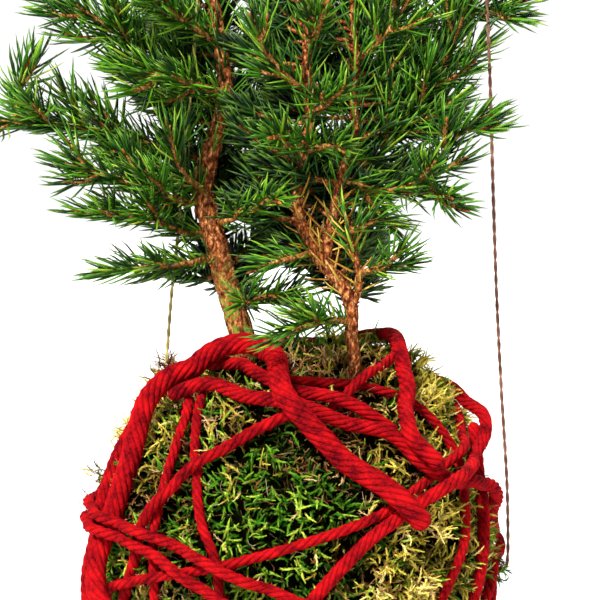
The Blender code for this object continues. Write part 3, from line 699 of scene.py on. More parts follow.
@dataclass(frozen=True)
class Bark(Finish):
    """Young conifer bark: orange-brown, flaking in small plates with dark gaps, which scatter light dully."""

    deep: str = "#2a0e06"
    middle: str = "#9c5026"
    pale: str = "#f2b070"
    plate: float = 2.2
    moss_up_to: float = -1000.0

    def dress(self, surface: Surface) -> None:
        """Plates of bark with dark gaps, a grain along them, and green growth up to a height."""
        # The plates are about twice as long as they are wide, and their edges wander by about a millimetre.
        longer = surface.add("ShaderNodeMapping", {0: surface.place, 3: (1.0, 1.0, 0.5)}).outputs[0]
        wander = surface.add("ShaderNodeTexNoise", {0: surface.place, "Scale": 500.0, "Detail": 3.0})
        strayed = surface.add("ShaderNodeVectorMath", {0: wander.outputs["Color"], 1: (0.0025,) * 3, 2: longer},
                              operation="MULTIPLY_ADD")
        cells = {0: strayed.outputs[0], "Scale": 1000 / self.plate, "Randomness": 1.0}
        plates = surface.add("ShaderNodeTexVoronoi", cells, feature="DISTANCE_TO_EDGE").outputs[0]
        grain = surface.noise(longer, 900.0, 5.0, 0.65)
        tone = surface.ramp(grain, ((0.32, self.deep), (0.5, self.middle), (0.68, self.pale)))
        cracked = surface.mix(surface.remap(plates, 0.0, 0.2, 0.85, 0.0), tone, linear(self.deep))
        rise = surface.parts(surface.place)["Z"]
        band = surface.remap(rise, self.moss_up_to * MM, (self.moss_up_to + 30) * MM, 0.9, 0.0)
        where = surface.remap(surface.noise(surface.place, 260.0, 4.0), 0.46, 0.58, 0.0, 1.0)
        grown = surface.mix(surface.math("MULTIPLY", band, where), cracked, linear("#8a9438"))
        surface.wear(grown, surface.math("ADD", plates, grain), 0.8, 0.5)


@dataclass(frozen=True)
class Wool(Finish):
    """Dyed plied fibre, matt and fuzzy: soft at the edges, with fine fibres that follow each ply."""

    dark: str = "#4c0008"
    bright: str = "#c20e14"
    sheen: float = 0.12
    # Share of brightness left in the painted shade on the side of each ply that faces the others.
    groove_shade: float = 0.5

    def dress(self, surface: Surface) -> None:
        """Streaks along the ply, drawn at about a quarter millimetre so that they show, painted shade in the grooves
        between the plies, and a soft sheen.
        """
        streak = surface.add("ShaderNodeMapping", {0: surface.lay, 3: (12.0, 0.9, 1.0)}).outputs[0]
        fibres = surface.noise(streak, 1.0, 4.0, 0.6, 0.4)
        both = surface.math("ADD", fibres, surface.noise(surface.place, 180.0))
        tone = surface.remap(both, 0.75, 1.25, 0.0, 1.0)
        dye = surface.mix(tone, linear(self.dark), linear(self.bright))
        # Painted shade: the side of each ply that faces the others, down in the groove between them, is darkened.
        inward = surface.math("SUBTRACT", surface.parts(surface.lay)["X"], 0.5)
        outward = surface.add("ShaderNodeMath", {0: inward}, operation="ABSOLUTE").outputs[0]
        depth = surface.remap(outward, 0.16, 0.42, self.groove_shade, 1.0)
        surface.wear(surface.scaled(dye, depth), fibres, 0.9, 0.4)
        for socket, value in (("Weight", self.sheen), ("Roughness", 0.5), ("Tint", linear(self.bright))):
            surface.shader.inputs[f"Sheen {socket}"].default_value = value


@dataclass(frozen=True)
class Earth(Finish):
    """Damp crumbly peat or the dead brown felt under moss: very dark, without any shine. The felt is taken on to near
    black as painted shade.
    """

    dark: str = "#0e0b06"
    pale: str = "#33280f"
    crumb: float = 1.6

    def dress(self, surface: Surface) -> None:
        """Crumbs of light and dark with a strong relief."""
        crumbs = surface.noise(surface.place, 1000 / self.crumb, 6.0, 0.7)
        surface.wear(surface.ramp(crumbs, ((0.35, self.dark), (0.7, self.pale))), crumbs, 1.0, 1.0)


@dataclass(frozen=True)
class Card(Finish):
    """The studio's matt white paper floor."""

    def dress(self, surface: Surface) -> None:
        """Paper white with a barely seen cloudiness."""
        tone = surface.ramp(surface.noise(surface.place, 3.0), ((0.0, "#f3f3f1"), (1.0, "#f6f6f4")))
        surface.tree.links.new(tone, surface.shader.inputs["Base Color"])


RED_WOOL = Wool("red wool yarn", 0.9)
RED_FUZZ = Wool("loose red wool fibres", 0.9, dark="#9c0012", bright="#e0081f", sheen=0.1, groove_shade=1.0)
BROWN_TWINE = Wool("brown two-ply twine", 0.9, dark="#5c3426", bright="#a87a66", groove_shade=0.6)
STRAW_TWINE = Wool("straw-coloured two-ply twine", 0.9, dark="#a88a3c", bright="#e6d490", groove_shade=0.7)
STEM_BARK = Bark("flaking spruce bark", 0.88)
FOOT_BARK = Bark("flaking spruce bark with green growth", 0.88, moss_up_to=FOOT_DROP + 76)
TWIG_BARK = Bark("smooth young spruce shoot", 0.7, deep="#5c3416", middle="#b8763a", pale="#ecb86e", plate=1.1)
BUD_SCALE = Leaf("spruce bud scales", 0.6, ((0.0, "#6e3517"), (0.5, "#8f4a22"), (1.0, "#a9602e")),
                 foot="#7a8a3a", tip="#c58b4e", tip_share=0.6)
NEEDLE_SKIN = Leaf("spruce needle skin", 0.42, ((0.0, "#081c06"), (0.3, "#16400a"), (0.55, "#34700e"),
                                                 (0.8, "#62a01a"), (1.0, "#b4cc3c")),
                   foot="#5c6a20", tip="#8cb83a", tip_share=0.4, gloss=0.26)
DRY_NEEDLE_SKIN = Leaf("dried spruce needle skin", 0.6, ((0.0, "#8a5a22"), (0.6, "#c79a3a"), (1.0, "#e0c860")),
                       foot="#7a4a1e", tip="#b98a4a", tip_share=0.3)
PLUMP_MOSS = Leaf("green moss shoots", 0.6, ((0.0, "#0a1c04"), (0.3, "#1f4c0b"), (0.55, "#418217"),
                                              (0.8, "#74a426"), (1.0, "#bcd048")),
                  foot="#1a2006", tip="#94b43a", tip_share=0.35)
FEATHER_MOSS = Leaf("feathery moss fronds", 0.65, ((0.0, "#2a2808"), (0.3, "#6e661a"), (0.6, "#b6a038"),
                                                    (0.85, "#e8cf5a"), (1.0, "#fbe88c")),
                    foot="#2c240a", tip="#e6dc5c", tip_share=0.4)
DRY_MOSS = Leaf("dried moss shoots", 0.8, ((0.0, "#2c1608"), (0.35, "#74421a"), (0.7, "#b88444"),
                                            (1.0, "#ecca8c")),
                foot="#1c1006", tip="#e2c285", tip_share=0.35)
MOSS_FIBRE = Leaf("dead moss fibres", 0.8, ((0.0, "#2a1a0c"), (0.5, "#6a4624"), (0.85, "#b08a5a"),
                                             (1.0, "#e8dcc4")),
                  foot="#2a1a0c", tip="#c9ae84", tip_share=0.3)
# Near black: the dead felt, darkened further as painted shade in the gaps between the shoots.
MOSS_FELT_WITH_PAINTED_SHADE = Earth("dead felt under the moss with painted shade", 0.95, dark="#020200", pale="#0f0c03", crumb=1.8, gloss=0.0)
PEAT = Earth("damp peat", 0.95, gloss=0.0)
WHITE_PAPER = Card("white studio paper", 0.9)


# Studio

@dataclass
class Studio:
    """Camera, floor and soft lights round the plant; lengths in metres, angles in degrees."""

    distance: float = 0.9
    elevation: float = 8.0
    tilt: float = -2.46
    turn: float = -0.11
    lens: float = 153.4
    floor_radius: float = 9.0

    def set_camera(self) -> None:
        """Stand the camera in front of the plant, a little above the ball's middle."""
        data = bpy.data.cameras.new("camera")
        data.lens = self.lens
        data.sensor_width = 36.0
        data.clip_start, data.clip_end = 0.05, 60.0
        camera = bpy.data.objects.new("camera", data)
        bpy.context.scene.collection.objects.link(camera)
        rise = math.radians(self.elevation)
        camera.location = Vector(MIDDLE) + self.distance * Vector((0, -math.cos(rise), math.sin(rise)))
        camera.rotation_euler = (math.radians(90 + self.tilt), 0, math.radians(self.turn))
        bpy.context.scene.camera = camera

    def lay_floor(self) -> None:
        """A round sheet of white paper under the plant."""
        deselect_all()
        bpy.ops.mesh.primitive_circle_add(vertices=96, radius=self.floor_radius, fill_type="NGON")
        floor = bpy.context.active_object
        floor.name = "studio_floor"
        floor.data.materials.append(WHITE_PAPER.material())

    def light(self) -> None:
        """One broad soft sun from the upper front left, a weaker one from the right, and white walls."""
        for name, strength, width, lean, turn in (
            ("key_light", 6.4, 10, 46, -30), ("fill_light", 0.6, 50, 60, 58), ("back_light", 2.0, 40, 50, 170),
        ):
            data = bpy.data.lights.new(name, "SUN")
            data.energy = strength
            data.angle = math.radians(width)
            lamp = bpy.data.objects.new(name, data)
            bpy.context.scene.collection.objects.link(lamp)
            lamp.rotation_euler = (math.radians(lean), 0, math.radians(turn))
        world = bpy.data.worlds.new("white_walls")
        world.use_nodes = True
        walls = world.node_tree.nodes["Background"]
        walls.inputs["Color"].default_value = (1, 1, 1, 1)
        # The walls are seen brighter than they light the plant, as overexposed paper is.
        surface = Surface(world.node_tree)
        seen = surface.add("ShaderNodeLightPath").outputs["Is Camera Ray"]
        world.node_tree.links.new(surface.remap(seen, 0.0, 1.0, 0.12, 1.1), walls.inputs["Strength"])
        bpy.context.scene.world = world
        bpy.context.scene.view_settings.view_transform = "Standard"


# Twisted fibre

@dataclass
class Twist:
    """A yarn, rope or twine of several plies laid up in a left-hand twist; sizes in millimetres."""

    plies: int
    pitch: float
    sides: int = 8
    swell: float = 1.14

    def laid_along(self, line: Rows, radius: float, first: Rows, second: Rows) -> Shape:
        """The plies round a line.

        Args:
            line: The middle of the yarn, one point a row.
            radius: Outer radius of the yarn.
            first: Direction across the line where the twist starts, at each point.
            second: Direction square to the line and to the first.

        Returns:
            The plies, with a core inside them where there is room for one.
        """
        narrow = math.sin(math.pi / self.plies)
        ply = radius * narrow / (1 + narrow) * self.swell
        ends = rounded_ends(line, radius, 0.9)[:, None] / radius
        along = run_along(line)
        shapes = []
        for number in range(self.plies):
            turn = 2 * math.pi * (number / self.plies - along / self.pitch)
            out = np.cos(turn)[:, None] * first + np.sin(turn)[:, None] * second
            middle = line + out * (radius - ply) * ends
            over = np.cross(headings(middle), out)
            shapes.append(tube(middle, ply * ends[:, 0], self.sides, (out, unit(over))))
        if self.plies > 3:
            shapes.append(tube(line, (radius - ply) * ends[:, 0], 8, (first, second)))
        return Shape.joined(shapes)


@dataclass
class Fuzz:
    """Fine loose fibres that stand off a yarn; sizes in millimetres."""

    per_mm: float = 2.4
    longest: float = 3.2
    thickness: float = 0.08

    def fibre(self) -> Shape:
        """One fibre, modelled from a three-sided cone cut in two; it is bent over where the fibres are scattered.

        Returns:
            A fibre one unit long along +Z.
        """
        deselect_all()
        bpy.ops.mesh.primitive_cone_add(vertices=3, radius1=0.5, radius2=0.0, depth=1.0, location=(0, 0, 0.5))
        cone = bpy.context.active_object
        bpy.ops.object.mode_set(mode="EDIT")
        bpy.ops.mesh.select_all(action="SELECT")
        bpy.ops.mesh.bisect(plane_co=(0, 0, 0.45), plane_no=(0, 0, 1))
        bpy.ops.object.mode_set(mode="OBJECT")
        return modelled(cone)

    def along(self, line: Rows, radius: float, first: Rows, second: Rows, rng: np.random.Generator) -> Shape:
        """Fibres all over a yarn.

        Args:
            line: The middle of the yarn.
            radius: Outer radius of the yarn.
            first: Direction across the line at each point.
            second: Direction square to the line and to the first.
            rng: Source of the scatter.

        Returns:
            All the fibres as one shape.
        """
        count = int(run_along(line)[-1] * self.per_mm * (0.6 + radius / 6))
        spot = rng.integers(1, len(line) - 1, count)
        turn = rng.uniform(0, 2 * math.pi, count)[:, None]
        out = np.cos(turn) * first[spot] + np.sin(turn) * second[spot]
        side = np.cross(headings(line)[spot], out)
        ways = out * rng.uniform(0.12, 0.9, (count, 1)) + headings(line)[spot] * rng.uniform(-1, 1, (count, 1)) \
            + side * rng.uniform(-0.7, 0.7, (count, 1))
        lengths = rng.uniform(0.35, 1.0, count) ** 1.6 * self.longest
        turns = aimed(ways, out + 0.01, np.full(count, self.thickness), lengths)
        fibre = self.fibre()
        high = fibre.points[:, 2]
        fibre.points[:, 1] -= 0.25 * np.where((high > 0.2) & (high < 0.9), -1.0, 1.0) / self.thickness * high * 0.5
        return fibre.copies(turns, line[spot] + out * radius * 0.86, rng.uniform(0, 1, count))


@dataclass
class Twine:
    """A thin two-ply twine held taut from the ball up to a knot; sizes in millimetres."""

    name: str
    route: Sequence[tuple[float, float, float]]
    knot: tuple[tuple[float, float, float], tuple[float, float, float], float]
    finish: Wool
    diameter: float = 1.3
    step: float = 0.45
    twist: Twist = field(default_factory=lambda: Twist(plies=2, pitch=9.0, sides=7, swell=1.2))

    def line(self) -> Rows:
        """The middle of the twine."""
        return even_samples(np.array(self.route), self.step)

    def wound_knot(self) -> Shape:
        """Two and a half turns round what it holds, a half hitch, and two loose ends.

        Returns:
            The knot as one shape.
        """
        middle, axis, held = np.array(self.knot[0]), unit(np.array(self.knot[1])), self.knot[2]
        side = 1.0 if middle[0] > 0 else -1.0
        outward = unit(np.array((side, -0.2, 0.0)) - axis * (np.array((side, -0.2, 0.0)) @ axis))
        across = np.cross(axis, outward)
        ring = held + self.diameter / 2 + 0.15
        angle = np.linspace(0, 5 * math.pi, 90)[:, None]
        coil = middle + ring * (np.cos(angle) * outward + np.sin(angle) * across) \
            + axis * (np.linspace(-1.1, 1.1, 90)[:, None] * self.diameter)
        heart = middle + outward * (ring + 1.2)
        angle = np.linspace(-0.4, 2.1 * math.pi, 40)[:, None]
        hitch = heart + 1.25 * (np.cos(angle) * across + np.sin(angle) * axis) \
            + outward * 0.7 * np.sin(angle * 1.5)
        ends = [even_samples(heart + np.array(places) @ np.stack([outward, across, axis]), 0.4)
                for places in (((0, 0.3, 0), (1.2, 1.2, 1.0), (2.6, 1.6, 3.4), (3.4, 1.1, 6.2)),
                               ((0, -0.3, 0), (1.5, -1.1, -0.6), (3.2, -1.5, -2.4), (4.2, -1.0, -5.0)))]
        shapes = []
        for line in (coil, hitch, *ends):
            shapes.append(self.twist.laid_along(line, self.diameter / 2, *carried_sides(line)))
        return Shape.joined(shapes)

    def build(self, rng: np.random.Generator) -> None:
        line = self.line()
        across = carried_sides(line)
        twine = self.twist.laid_along(line, self.diameter / 2, *across).as_piece(self.name + "_plies", self.finish)
        knot = self.wound_knot().as_piece(self.name + "_tied_knot", self.finish)
        fuzz = Fuzz(per_mm=3.0, longest=1.6, thickness=0.05).along(line, self.diameter / 2, *across, rng)
        fibres = fuzz.as_piece(self.name + "_fibres", self.finish)
        for piece, node in ((twine, self.name), (knot, self.name + "_knot"), (fibres, "")):
            hand_over(piece, node)
        BALL.lay(line, self.diameter / 2)
        LOG.info("%s: %.0f mm of twine and its knot", self.name, run_along(line)[-1])


# Wool binding

@dataclass
class WoolBinding:
    """Every strand of red wool wound on the ball; sizes in millimetres."""

    route_step: float = 2.5
    step: float = 1.05
    rest_gap: float = -1.1
    strand_gap: float = 0.1
    hump_reach: float = 2.3
    fuzz: Fuzz = field(default_factory=Fuzz)

    def resting_line(self, diameter: float, route: Sequence[tuple[float, float]],
                     below: list[tuple[Rows, Rows, float]]) -> Rows:
        """The middle of a strand on the moss, arched over the strands already wound.

        Args:
            diameter: The strand's diameter.
            route: Its route as longitude and latitude.
            below: Directions, heights and radius of each strand already wound; this one is added.

        Returns:
            The strand's line, finely sampled.
        """
        radius = diameter / 2
        places = np.array(route, float)
        units = unit(even_samples(direction(places[:, 0], places[:, 1]) * BALL.radius, self.route_step))
        rest = BALL.height(units) + radius + self.rest_gap
        need = rest.copy()
        for others, heights, other_radius in below:
            reach = radius + other_radius + self.strand_gap
            sideways = np.linalg.norm(units[:, None] - others[None], axis=2) * heights[None]
            lift = heights[None] + np.sqrt(np.maximum(reach**2 - sideways**2, 0.0))
            need = np.maximum(need, np.where(sideways < reach, lift, 0.0).max(axis=1))
        spread = self.hump_reach * (diameter + 3.0)
        span = math.ceil(spread / self.route_step)
        heights = need.copy()
        for shift in range(-span, span + 1):
            share = math.cos(min(1.0, abs(shift) * self.route_step / spread) * math.pi / 2) ** 2
            low, high = max(0, shift), min(len(rest), len(rest) + shift)
            beside = slice(low - shift, high - shift)
            heights[low:high] = np.maximum(heights[low:high],
                                           rest[low:high] + (need[beside] - rest[beside]) * share)
        below.append((units, heights, radius))
        line = units * heights[:, None]
        line[:, 2] = np.maximum(line[:, 2], radius * 1.1 - FOOT_DROP)
        return even_samples(line, self.step)

    def twist_for(self, diameter: float) -> Twist:
        """How a strand of this diameter is laid up: thick rope from many plies, thin yarn from few."""
        if diameter > 7:
            return Twist(plies=8, pitch=31.0, sides=8)
        if diameter > 4.3:
            return Twist(plies=6, pitch=20.0, sides=7)
        return Twist(plies=4, pitch=15.0, sides=6, swell=1.2)

    def build(self, rng: np.random.Generator) -> None:
        """Wind on every strand in order, and scatter its loose fibres."""
        below: list[tuple[Rows, Rows, float]] = []
        for name, diameter, route in STRANDS:
            line = self.resting_line(diameter, route, below)
            out = unit(line)
            ways = headings(line)
            first = unit(out - ways * np.sum(out * ways, axis=1, keepdims=True))
            second = np.cross(ways, first)
            plies = self.twist_for(diameter).laid_along(line, diameter / 2, first, second)
            strand = plies.as_piece(name + "_plies", RED_WOOL)
            fibres = self.fuzz.along(line, diameter / 2, first, second, rng).as_piece(name + "_fibres", RED_FUZZ)
            hand_over(strand, name)
            hand_over(fibres)
            BALL.lay(line, diameter / 2)
            LOG.info("%s: %d faces", name, len(strand.data.polygons))


# Moss

class Growth(Enum):
    """The kinds of growth that the moss is made of."""

    PLUMP = "plump"
    FEATHER = "feather"
    DRY = "dry"
    FIBRE = "fibre"


@dataclass(frozen=True)
class Shoot:
    """One kind of moss shoot: its leaves and size, in millimetres and degrees, and its first leaf's turn."""

    finish: Leaf
    length: float
    leaves: int
    leaf: tuple[float, float, float]
    tilt: float
    core: float
    first_turn: float = 0.0

    def modelled(self, bend: float) -> Shape:
        """A shoot of pointed leaves on a thin stalk, leaning over.

        Args:
            bend: The angle, in radians, that it curls over towards +Y.

        Returns:
            The shoot, standing on the origin along +Z.
        """
        deselect_all()
        height = self.length * 0.92
        bpy.ops.mesh.primitive_cone_add(vertices=3, radius1=self.core, radius2=self.core * 0.4, depth=height,
                                        location=(0, 0, height / 2), end_fill_type="NGON")
        stalk = bpy.context.active_object
        bpy.ops.object.mode_set(mode="EDIT")
        for share in (0.3, 0.62):
            bpy.ops.mesh.select_all(action="SELECT")
            bpy.ops.mesh.bisect(plane_co=(0, 0, self.length * share), plane_no=(0, 0, 1))
        bpy.ops.object.mode_set(mode="OBJECT")
        made = [stalk]
        width, thickness, length = self.leaf
        for number in range(self.leaves):
            part = (number + 0.5) / self.leaves
            turn = self.first_turn + GOLDEN_TURN * number
            small = 0.65 + 0.5 * math.sin(math.pi * min(1.0, part * 0.9 + 0.2))
            lean = math.radians(self.tilt) * (1.0 - 0.55 * part)
            tip = Vector((math.sin(lean) * math.cos(turn), math.sin(lean) * math.sin(turn), math.cos(lean)))
            foot = Vector((0, 0, self.length * (0.06 + 0.78 * part)))
            bpy.ops.mesh.primitive_cone_add(
                vertices=3, radius1=0.5, radius2=0.0, depth=1.0, location=foot + tip * length * small * 0.5,
                rotation=tip.to_track_quat("Z", "Y").to_euler(), scale=(width * small, thickness, length * small))
            made.append(bpy.context.active_object)
        for ob in made:
            ob.select_set(True)
        bpy.context.view_layer.objects.active = stalk
        bpy.ops.object.join()
        shoot = modelled(stalk)
        turn = bend * shoot.points[:, 2] / self.length
        radius = self.length / bend - shoot.points[:, 1]
        shoot.points[:, 1] = self.length / bend - radius * np.cos(turn)
        shoot.points[:, 2] = radius * np.sin(turn)
        return shoot


SHOOTS = {
    Growth.PLUMP: Shoot(PLUMP_MOSS, length=7.0, leaves=11, leaf=(0.66, 0.34, 1.5), tilt=34, core=0.42),
    Growth.FEATHER: Shoot(FEATHER_MOSS, length=8.6, leaves=12, leaf=(0.54, 0.3, 1.55), tilt=42, core=0.38),
    Growth.DRY: Shoot(DRY_MOSS, length=6.6, leaves=8, leaf=(0.42, 0.26, 1.6), tilt=44, core=0.26),
    Growth.FIBRE: Shoot(MOSS_FIBRE, length=9.0, leaves=1, leaf=(0.2, 0.14, 1.6), tilt=40, core=0.12, first_turn=0.3),
}
# Where each kind grows thickest: longitude, latitude, share, spread in degrees.
GREEN_PATCHES = ((-18, 18, 1.8, 24), (4, 2, 0.8, 24), (-20, -20, 0.7, 30), (150, 10, 0.8, 45), (-120, 0, 0.7, 45))
LIME_PATCHES = ((38, -10, 1.8, 22), (60, 44, 0.9, 18), (45, 30, 0.6, 14), (-50, 34, 0.5, 18), (100, 40, 0.8, 30))
DRY_PATCHES = ((-44, 24, 1.3, 15), (-40, -6, 0.9, 12), (14, 34, 1.0, 16), (22, 56, 1.1, 16), (0, 24, 0.5, 10),
               (16, 10, 0.5, 9), (-60, 46, 0.6, 14), (-10, 72, 0.9, 22), (32, -16, 1.0, 14), (180, 45, 0.6, 26))
# Tufts that cling to the yarn and to the feet of the twines: place in millimetres, spread, count, length share.
CLINGING = {
    Growth.DRY: (((-44, 1, 64), 1.8, 80, 1.3), ((-57, -4, 45), 2.0, 18, 0.9), ((70.5, -6, -4), 2.0, 40, 0.8)),
    Growth.FEATHER: (((-46, 1, 60), 2.4, 44, 1.1), ((-50, -2, 53), 2.4, 30, 1.0), ((-70, -6, 27), 2.2, 16, 0.9)),
    Growth.FIBRE: (((-73, -8, 18), 2.6, 26, 0.9), ((71, -6, -6), 2.0, 40, 0.7)),
    Growth.PLUMP: (((70.5, -6, -8), 2.2, 60, 0.8),),
}
# Tufts that stand up out of the ball: longitude, latitude, spread in degrees, count, length share.
TUFTS = {
    Growth.FEATHER: ((76, 52, 7, 70, 1.25), (62, 50, 6, 46, 1.1), (87, 60, 4, 70, 1.6), (96, 42, 6, 60, 1.3),
        (-76, 44, 6, 34, 1.1), (-84, 34, 6, 30, 1.2), (-88, 60, 3, 26, 1.0), (84, 12, 6, 34, 1.0),
        (34, -10, 20, 380, 0.9), (92, 33, 5, 70, 1.2), (84, 30, 5, 50, 1.1)),
    Growth.PLUMP: ((90, 46, 6, 50, 1.2), (86, 63, 4, 40, 1.6), (-88, 46, 5, 26, 1.0), (88, -5, 4, 40, 1.15),
        (88, 37, 5, 50, 1.2)),
    Growth.DRY: ((-90, 56, 3, 46, 1.35), (30, 66, 8, 40, 1.1), (34, -12, 18, 200, 0.9)),
    Growth.FIBRE: ((-90, 22, 6, 30, 1.0), (-88, 8, 8, 40, 1.0), (88, -3, 4, 40, 0.9)),
}


@dataclass
class MossBall:
    """Felt and shoots of the moss; sizes in millimetres."""

    shoots: int = 16300
    fibres: int = 2600
    felt_depth: float = 4.0
    lump: float = 4.0
    wool_gap: float = 0.1
    floor_gap: float = 2.4
    stem_gap: float = 3.6
    stem_up_to: float = 110.0

    @staticmethod
    def shades(rng: np.random.Generator, count: int) -> Rows:
        """Tints for this many shoots, most of them rather dark."""
        return rng.beta(1.7, 2.4, count)

    def felt_height(self, units: Rows) -> Rows:
        """Distance from the middle to the felt, which is uneven in lumps and pits.

        Args:
            units: Directions to look in.

        Returns:
            The distance in each direction.
        """
        rough = [noise.noise(Vector(way) * 9.0) * self.lump + noise.noise(Vector(way) * 27.0) * self.lump * 0.4
                 for way in units]
        return BALL.height(units) - self.felt_depth + np.array(rough)

    def make_felt(self) -> None:
        """The felt that the shoots stand in, near black as painted shade in the gaps between them, flat at the foot.
        """
        deselect_all()
        bpy.ops.mesh.primitive_ico_sphere_add(subdivisions=7, radius=1.0)
        felt = bpy.context.active_object
        felt.name = "moss_felt"
        units = np.array([vert.co for vert in felt.data.vertices])
        units = unit(units)
        points = units * self.felt_height(units)[:, None]
        points[:, 2] = np.maximum(points[:, 2], -FOOT_DROP)
        felt.data.vertices.foreach_set("co", (points * MM + MIDDLE).astype(np.float32).ravel())
        felt.data.materials.append(MOSS_FELT_WITH_PAINTED_SHADE.material())
        bpy.ops.object.shade_smooth()
        hand_over(felt, "moss_cover")

    def kinds_for(self, units: Rows, rng: np.random.Generator) -> Rows:
        """Which kind of shoot grows in each direction.

        Args:
            units: Directions of the shoots.
            rng: Source of the scatter.

        Returns:
            The number of the kind, in the order of Growth.
        """
        cloud = np.array([[noise.noise(Vector(way) * 5.0 + Vector((seed, 0, 0))) for seed in (0.0, 9.0, 21.0)]
                          for way in units])
        weights = np.stack([
            0.55 + spread_of(units, GREEN_PATCHES) + 1.2 * cloud[:, 0],
            0.40 + spread_of(units, LIME_PATCHES) + 1.2 * cloud[:, 1],
            0.22 + spread_of(units, DRY_PATCHES) + 1.1 * cloud[:, 2],
        ], axis=1)
        weights = np.clip(weights, 0.03, None) ** 1.8
        odds = np.cumsum(weights / weights.sum(axis=1, keepdims=True), axis=1)
        return (rng.uniform(0, 1, (len(units), 1)) > odds).sum(axis=1).clip(0, 2)

    def scattered(self, kind: Growth, units: Rows, upright: Rows, size: Rows, rng: np.random.Generator) -> Shape:
        """Shoots of one kind, rooted in the felt, that keep clear of the wool.

        Args:
            kind: The kind of shoot.
            units: Direction of each root from the ball's middle.
            upright: How far each stands up, from 0 lying to 1 upright.
            size: Length share of each.
            rng: Source of the scatter.

        Returns:
            All these shoots as one shape.
        """
        pattern = SHOOTS[kind]
        flow = rng.uniform(0, 2 * math.pi, len(units))
        east = unit(np.cross((0, 0, 1), units) + 1e-6)
        north = np.cross(units, east)
        lying = np.cos(flow)[:, None] * east + np.sin(flow)[:, None] * north
        lift = np.radians(14 + 72 * upright)[:, None]
        ways = unit(np.cos(lift) * lying + np.sin(lift) * units)
        ups = unit(rng.normal(size=units.shape))
        overs = np.cross(ways, unit(np.cross(ups, ways)))
        bends = np.array((2.3, 1.5, 0.6))
        curl = bends[np.arange(len(units)) % 3][:, None]
        felt = self.felt_height(units)
        roots = units * (felt - 0.3)[:, None]
        reach = pattern.length * size[:, None]
        tips = roots + (ways * np.sin(curl) + overs * (1 - np.cos(curl))) * reach / curl
        middles = roots + (ways * np.sin(curl / 2) + overs * (1 - np.cos(curl / 2))) * reach / curl
        # Painted shade: shoots rooted down in the pits of the felt are tinted darker than those on the lumps.
        tints = self.shades(rng, len(units)) + 0.2 * (felt - BALL.height(units) + self.felt_depth)
        clear = BALL.clearance(roots) > -1.0
        for points in (tips, middles):
            clear &= BALL.clearance(points) > self.wool_gap
        clear &= np.minimum(np.minimum(tips[:, 2], middles[:, 2]), roots[:, 2]) > self.floor_gap - FOOT_DROP
        stems = np.vstack([route_line(stem, 3.0) for stem in (STEM_LEFT, STEM_CENTRE)])
        low = stems[stems[:, 2] < self.stem_up_to]
        clear &= np.linalg.norm(middles[:, None] - low[None], axis=2).min(axis=1) > self.stem_gap
        places = np.flatnonzero(clear)
        shapes = []
        for part, bend in enumerate(bends):
            some = places[places % 3 == part]
            turns = aimed(ways[some], ups[some], rng.uniform(0.75, 1.15, len(some)), size[some])
            shapes.append(pattern.modelled(bend).copies(turns, roots[some], np.clip(tints[some], 0, 1)))
        return Shape.joined(shapes)

    def clinging(self, kind: Growth, rng: np.random.Generator) -> list[Shape]:
        """Tufts of one kind that cling to the yarn and to the feet of the twines.

        Args:
            kind: The kind of shoot.
            rng: Source of the scatter.

        Returns:
            One shape for each tuft.
        """
        made = []
        for place, spread, count, share in CLINGING[kind]:
            out = unit(np.array(place, float))
            roots = np.array(place) + rng.normal(size=(count, 3)) * spread * 0.6 - out * rng.uniform(0, 5, (count, 1))
            ways = unit(out * 0.9 + rng.normal(size=(count, 3)) * 0.6)
            turns = aimed(ways, rng.normal(size=(count, 3)), rng.uniform(0.7, 1.0, count),
                          share * rng.uniform(0.4, 1.0, count))
            made.append(SHOOTS[kind].modelled(1.1).copies(turns, roots, self.shades(rng, count)))
        return made

    def build(self, rng: np.random.Generator) -> None:
        """Lay the felt and plant every kind of shoot in it."""
        self.make_felt()
        units = unit(rng.normal(size=(self.shoots, 3)))
        shaded = (units[:, 1] > 0.15) | (units[:, 2] < -0.65)
        units = units[rng.uniform(0, 1, len(units)) < np.where(shaded, 0.55, 1.0)]
        kinds = self.kinds_for(units, rng)
        for number, kind in enumerate(Growth):
            own = units[kinds == number] if kind is not Growth.FIBRE else unit(rng.normal(size=(self.fibres, 3)))
            upright = rng.beta(1.3, 2.4, len(own))
            size = rng.uniform(0.7, 1.2, len(own))
            for lon, lat, spread, count, share in TUFTS[kind]:
                around = unit(direction(lon, lat) + rng.normal(size=(count, 3)) * math.radians(spread) * 0.6)
                own = np.vstack([own, around])
                upright = np.concatenate([upright, rng.uniform(0.5, 1.0, count)])
                size = np.concatenate([size, rng.uniform(0.8, 1.1, count) * share])
            front, left = own[:, 1] < 0, own[:, 0] < 0
            tufts = self.clinging(kind, rng)
            for name, side in (("front_left", front & left), ("front_right", front & ~left),
                               ("back_left", ~front & left), ("back_right", ~front & ~left)):
                shape = self.scattered(kind, own[side], upright[side], size[side], rng)
                if name.startswith("front"):
                    cling = [tuft for tuft in tufts if (tuft.points[0, 0] < 0) == (name == "front_left")]
                    shape = Shape.joined([shape, *cling])
                piece = shape.as_piece(f"moss_{kind.value}_{name}", SHOOTS[kind].finish, smooth=False)
                hand_over(piece)
                LOG.info("%s: %d faces", piece.name, len(piece.data.polygons))


# Stems and sprays

def route_line(stem: Stem, step: float) -> Rows:
    """The middle of a stem, sampled along its smooth route."""
    return even_samples(np.array([place for place, _ in stem], float), step)


def stem_radii(stem: Stem, line: Rows) -> Rows:
    """A stem's radius at each sample of its line.

    Args:
        stem: Its route points with their radius.
        line: Samples of its smooth route.

    Returns:
        The radius at each sample.
    """
    places = np.array([place for place, _ in stem], float)
    nearest = np.argmin(np.linalg.norm(line[:, None] - places[None], axis=2), axis=0)
    along = run_along(line)
    return np.interp(along, along[nearest], [radius for _, radius in stem])


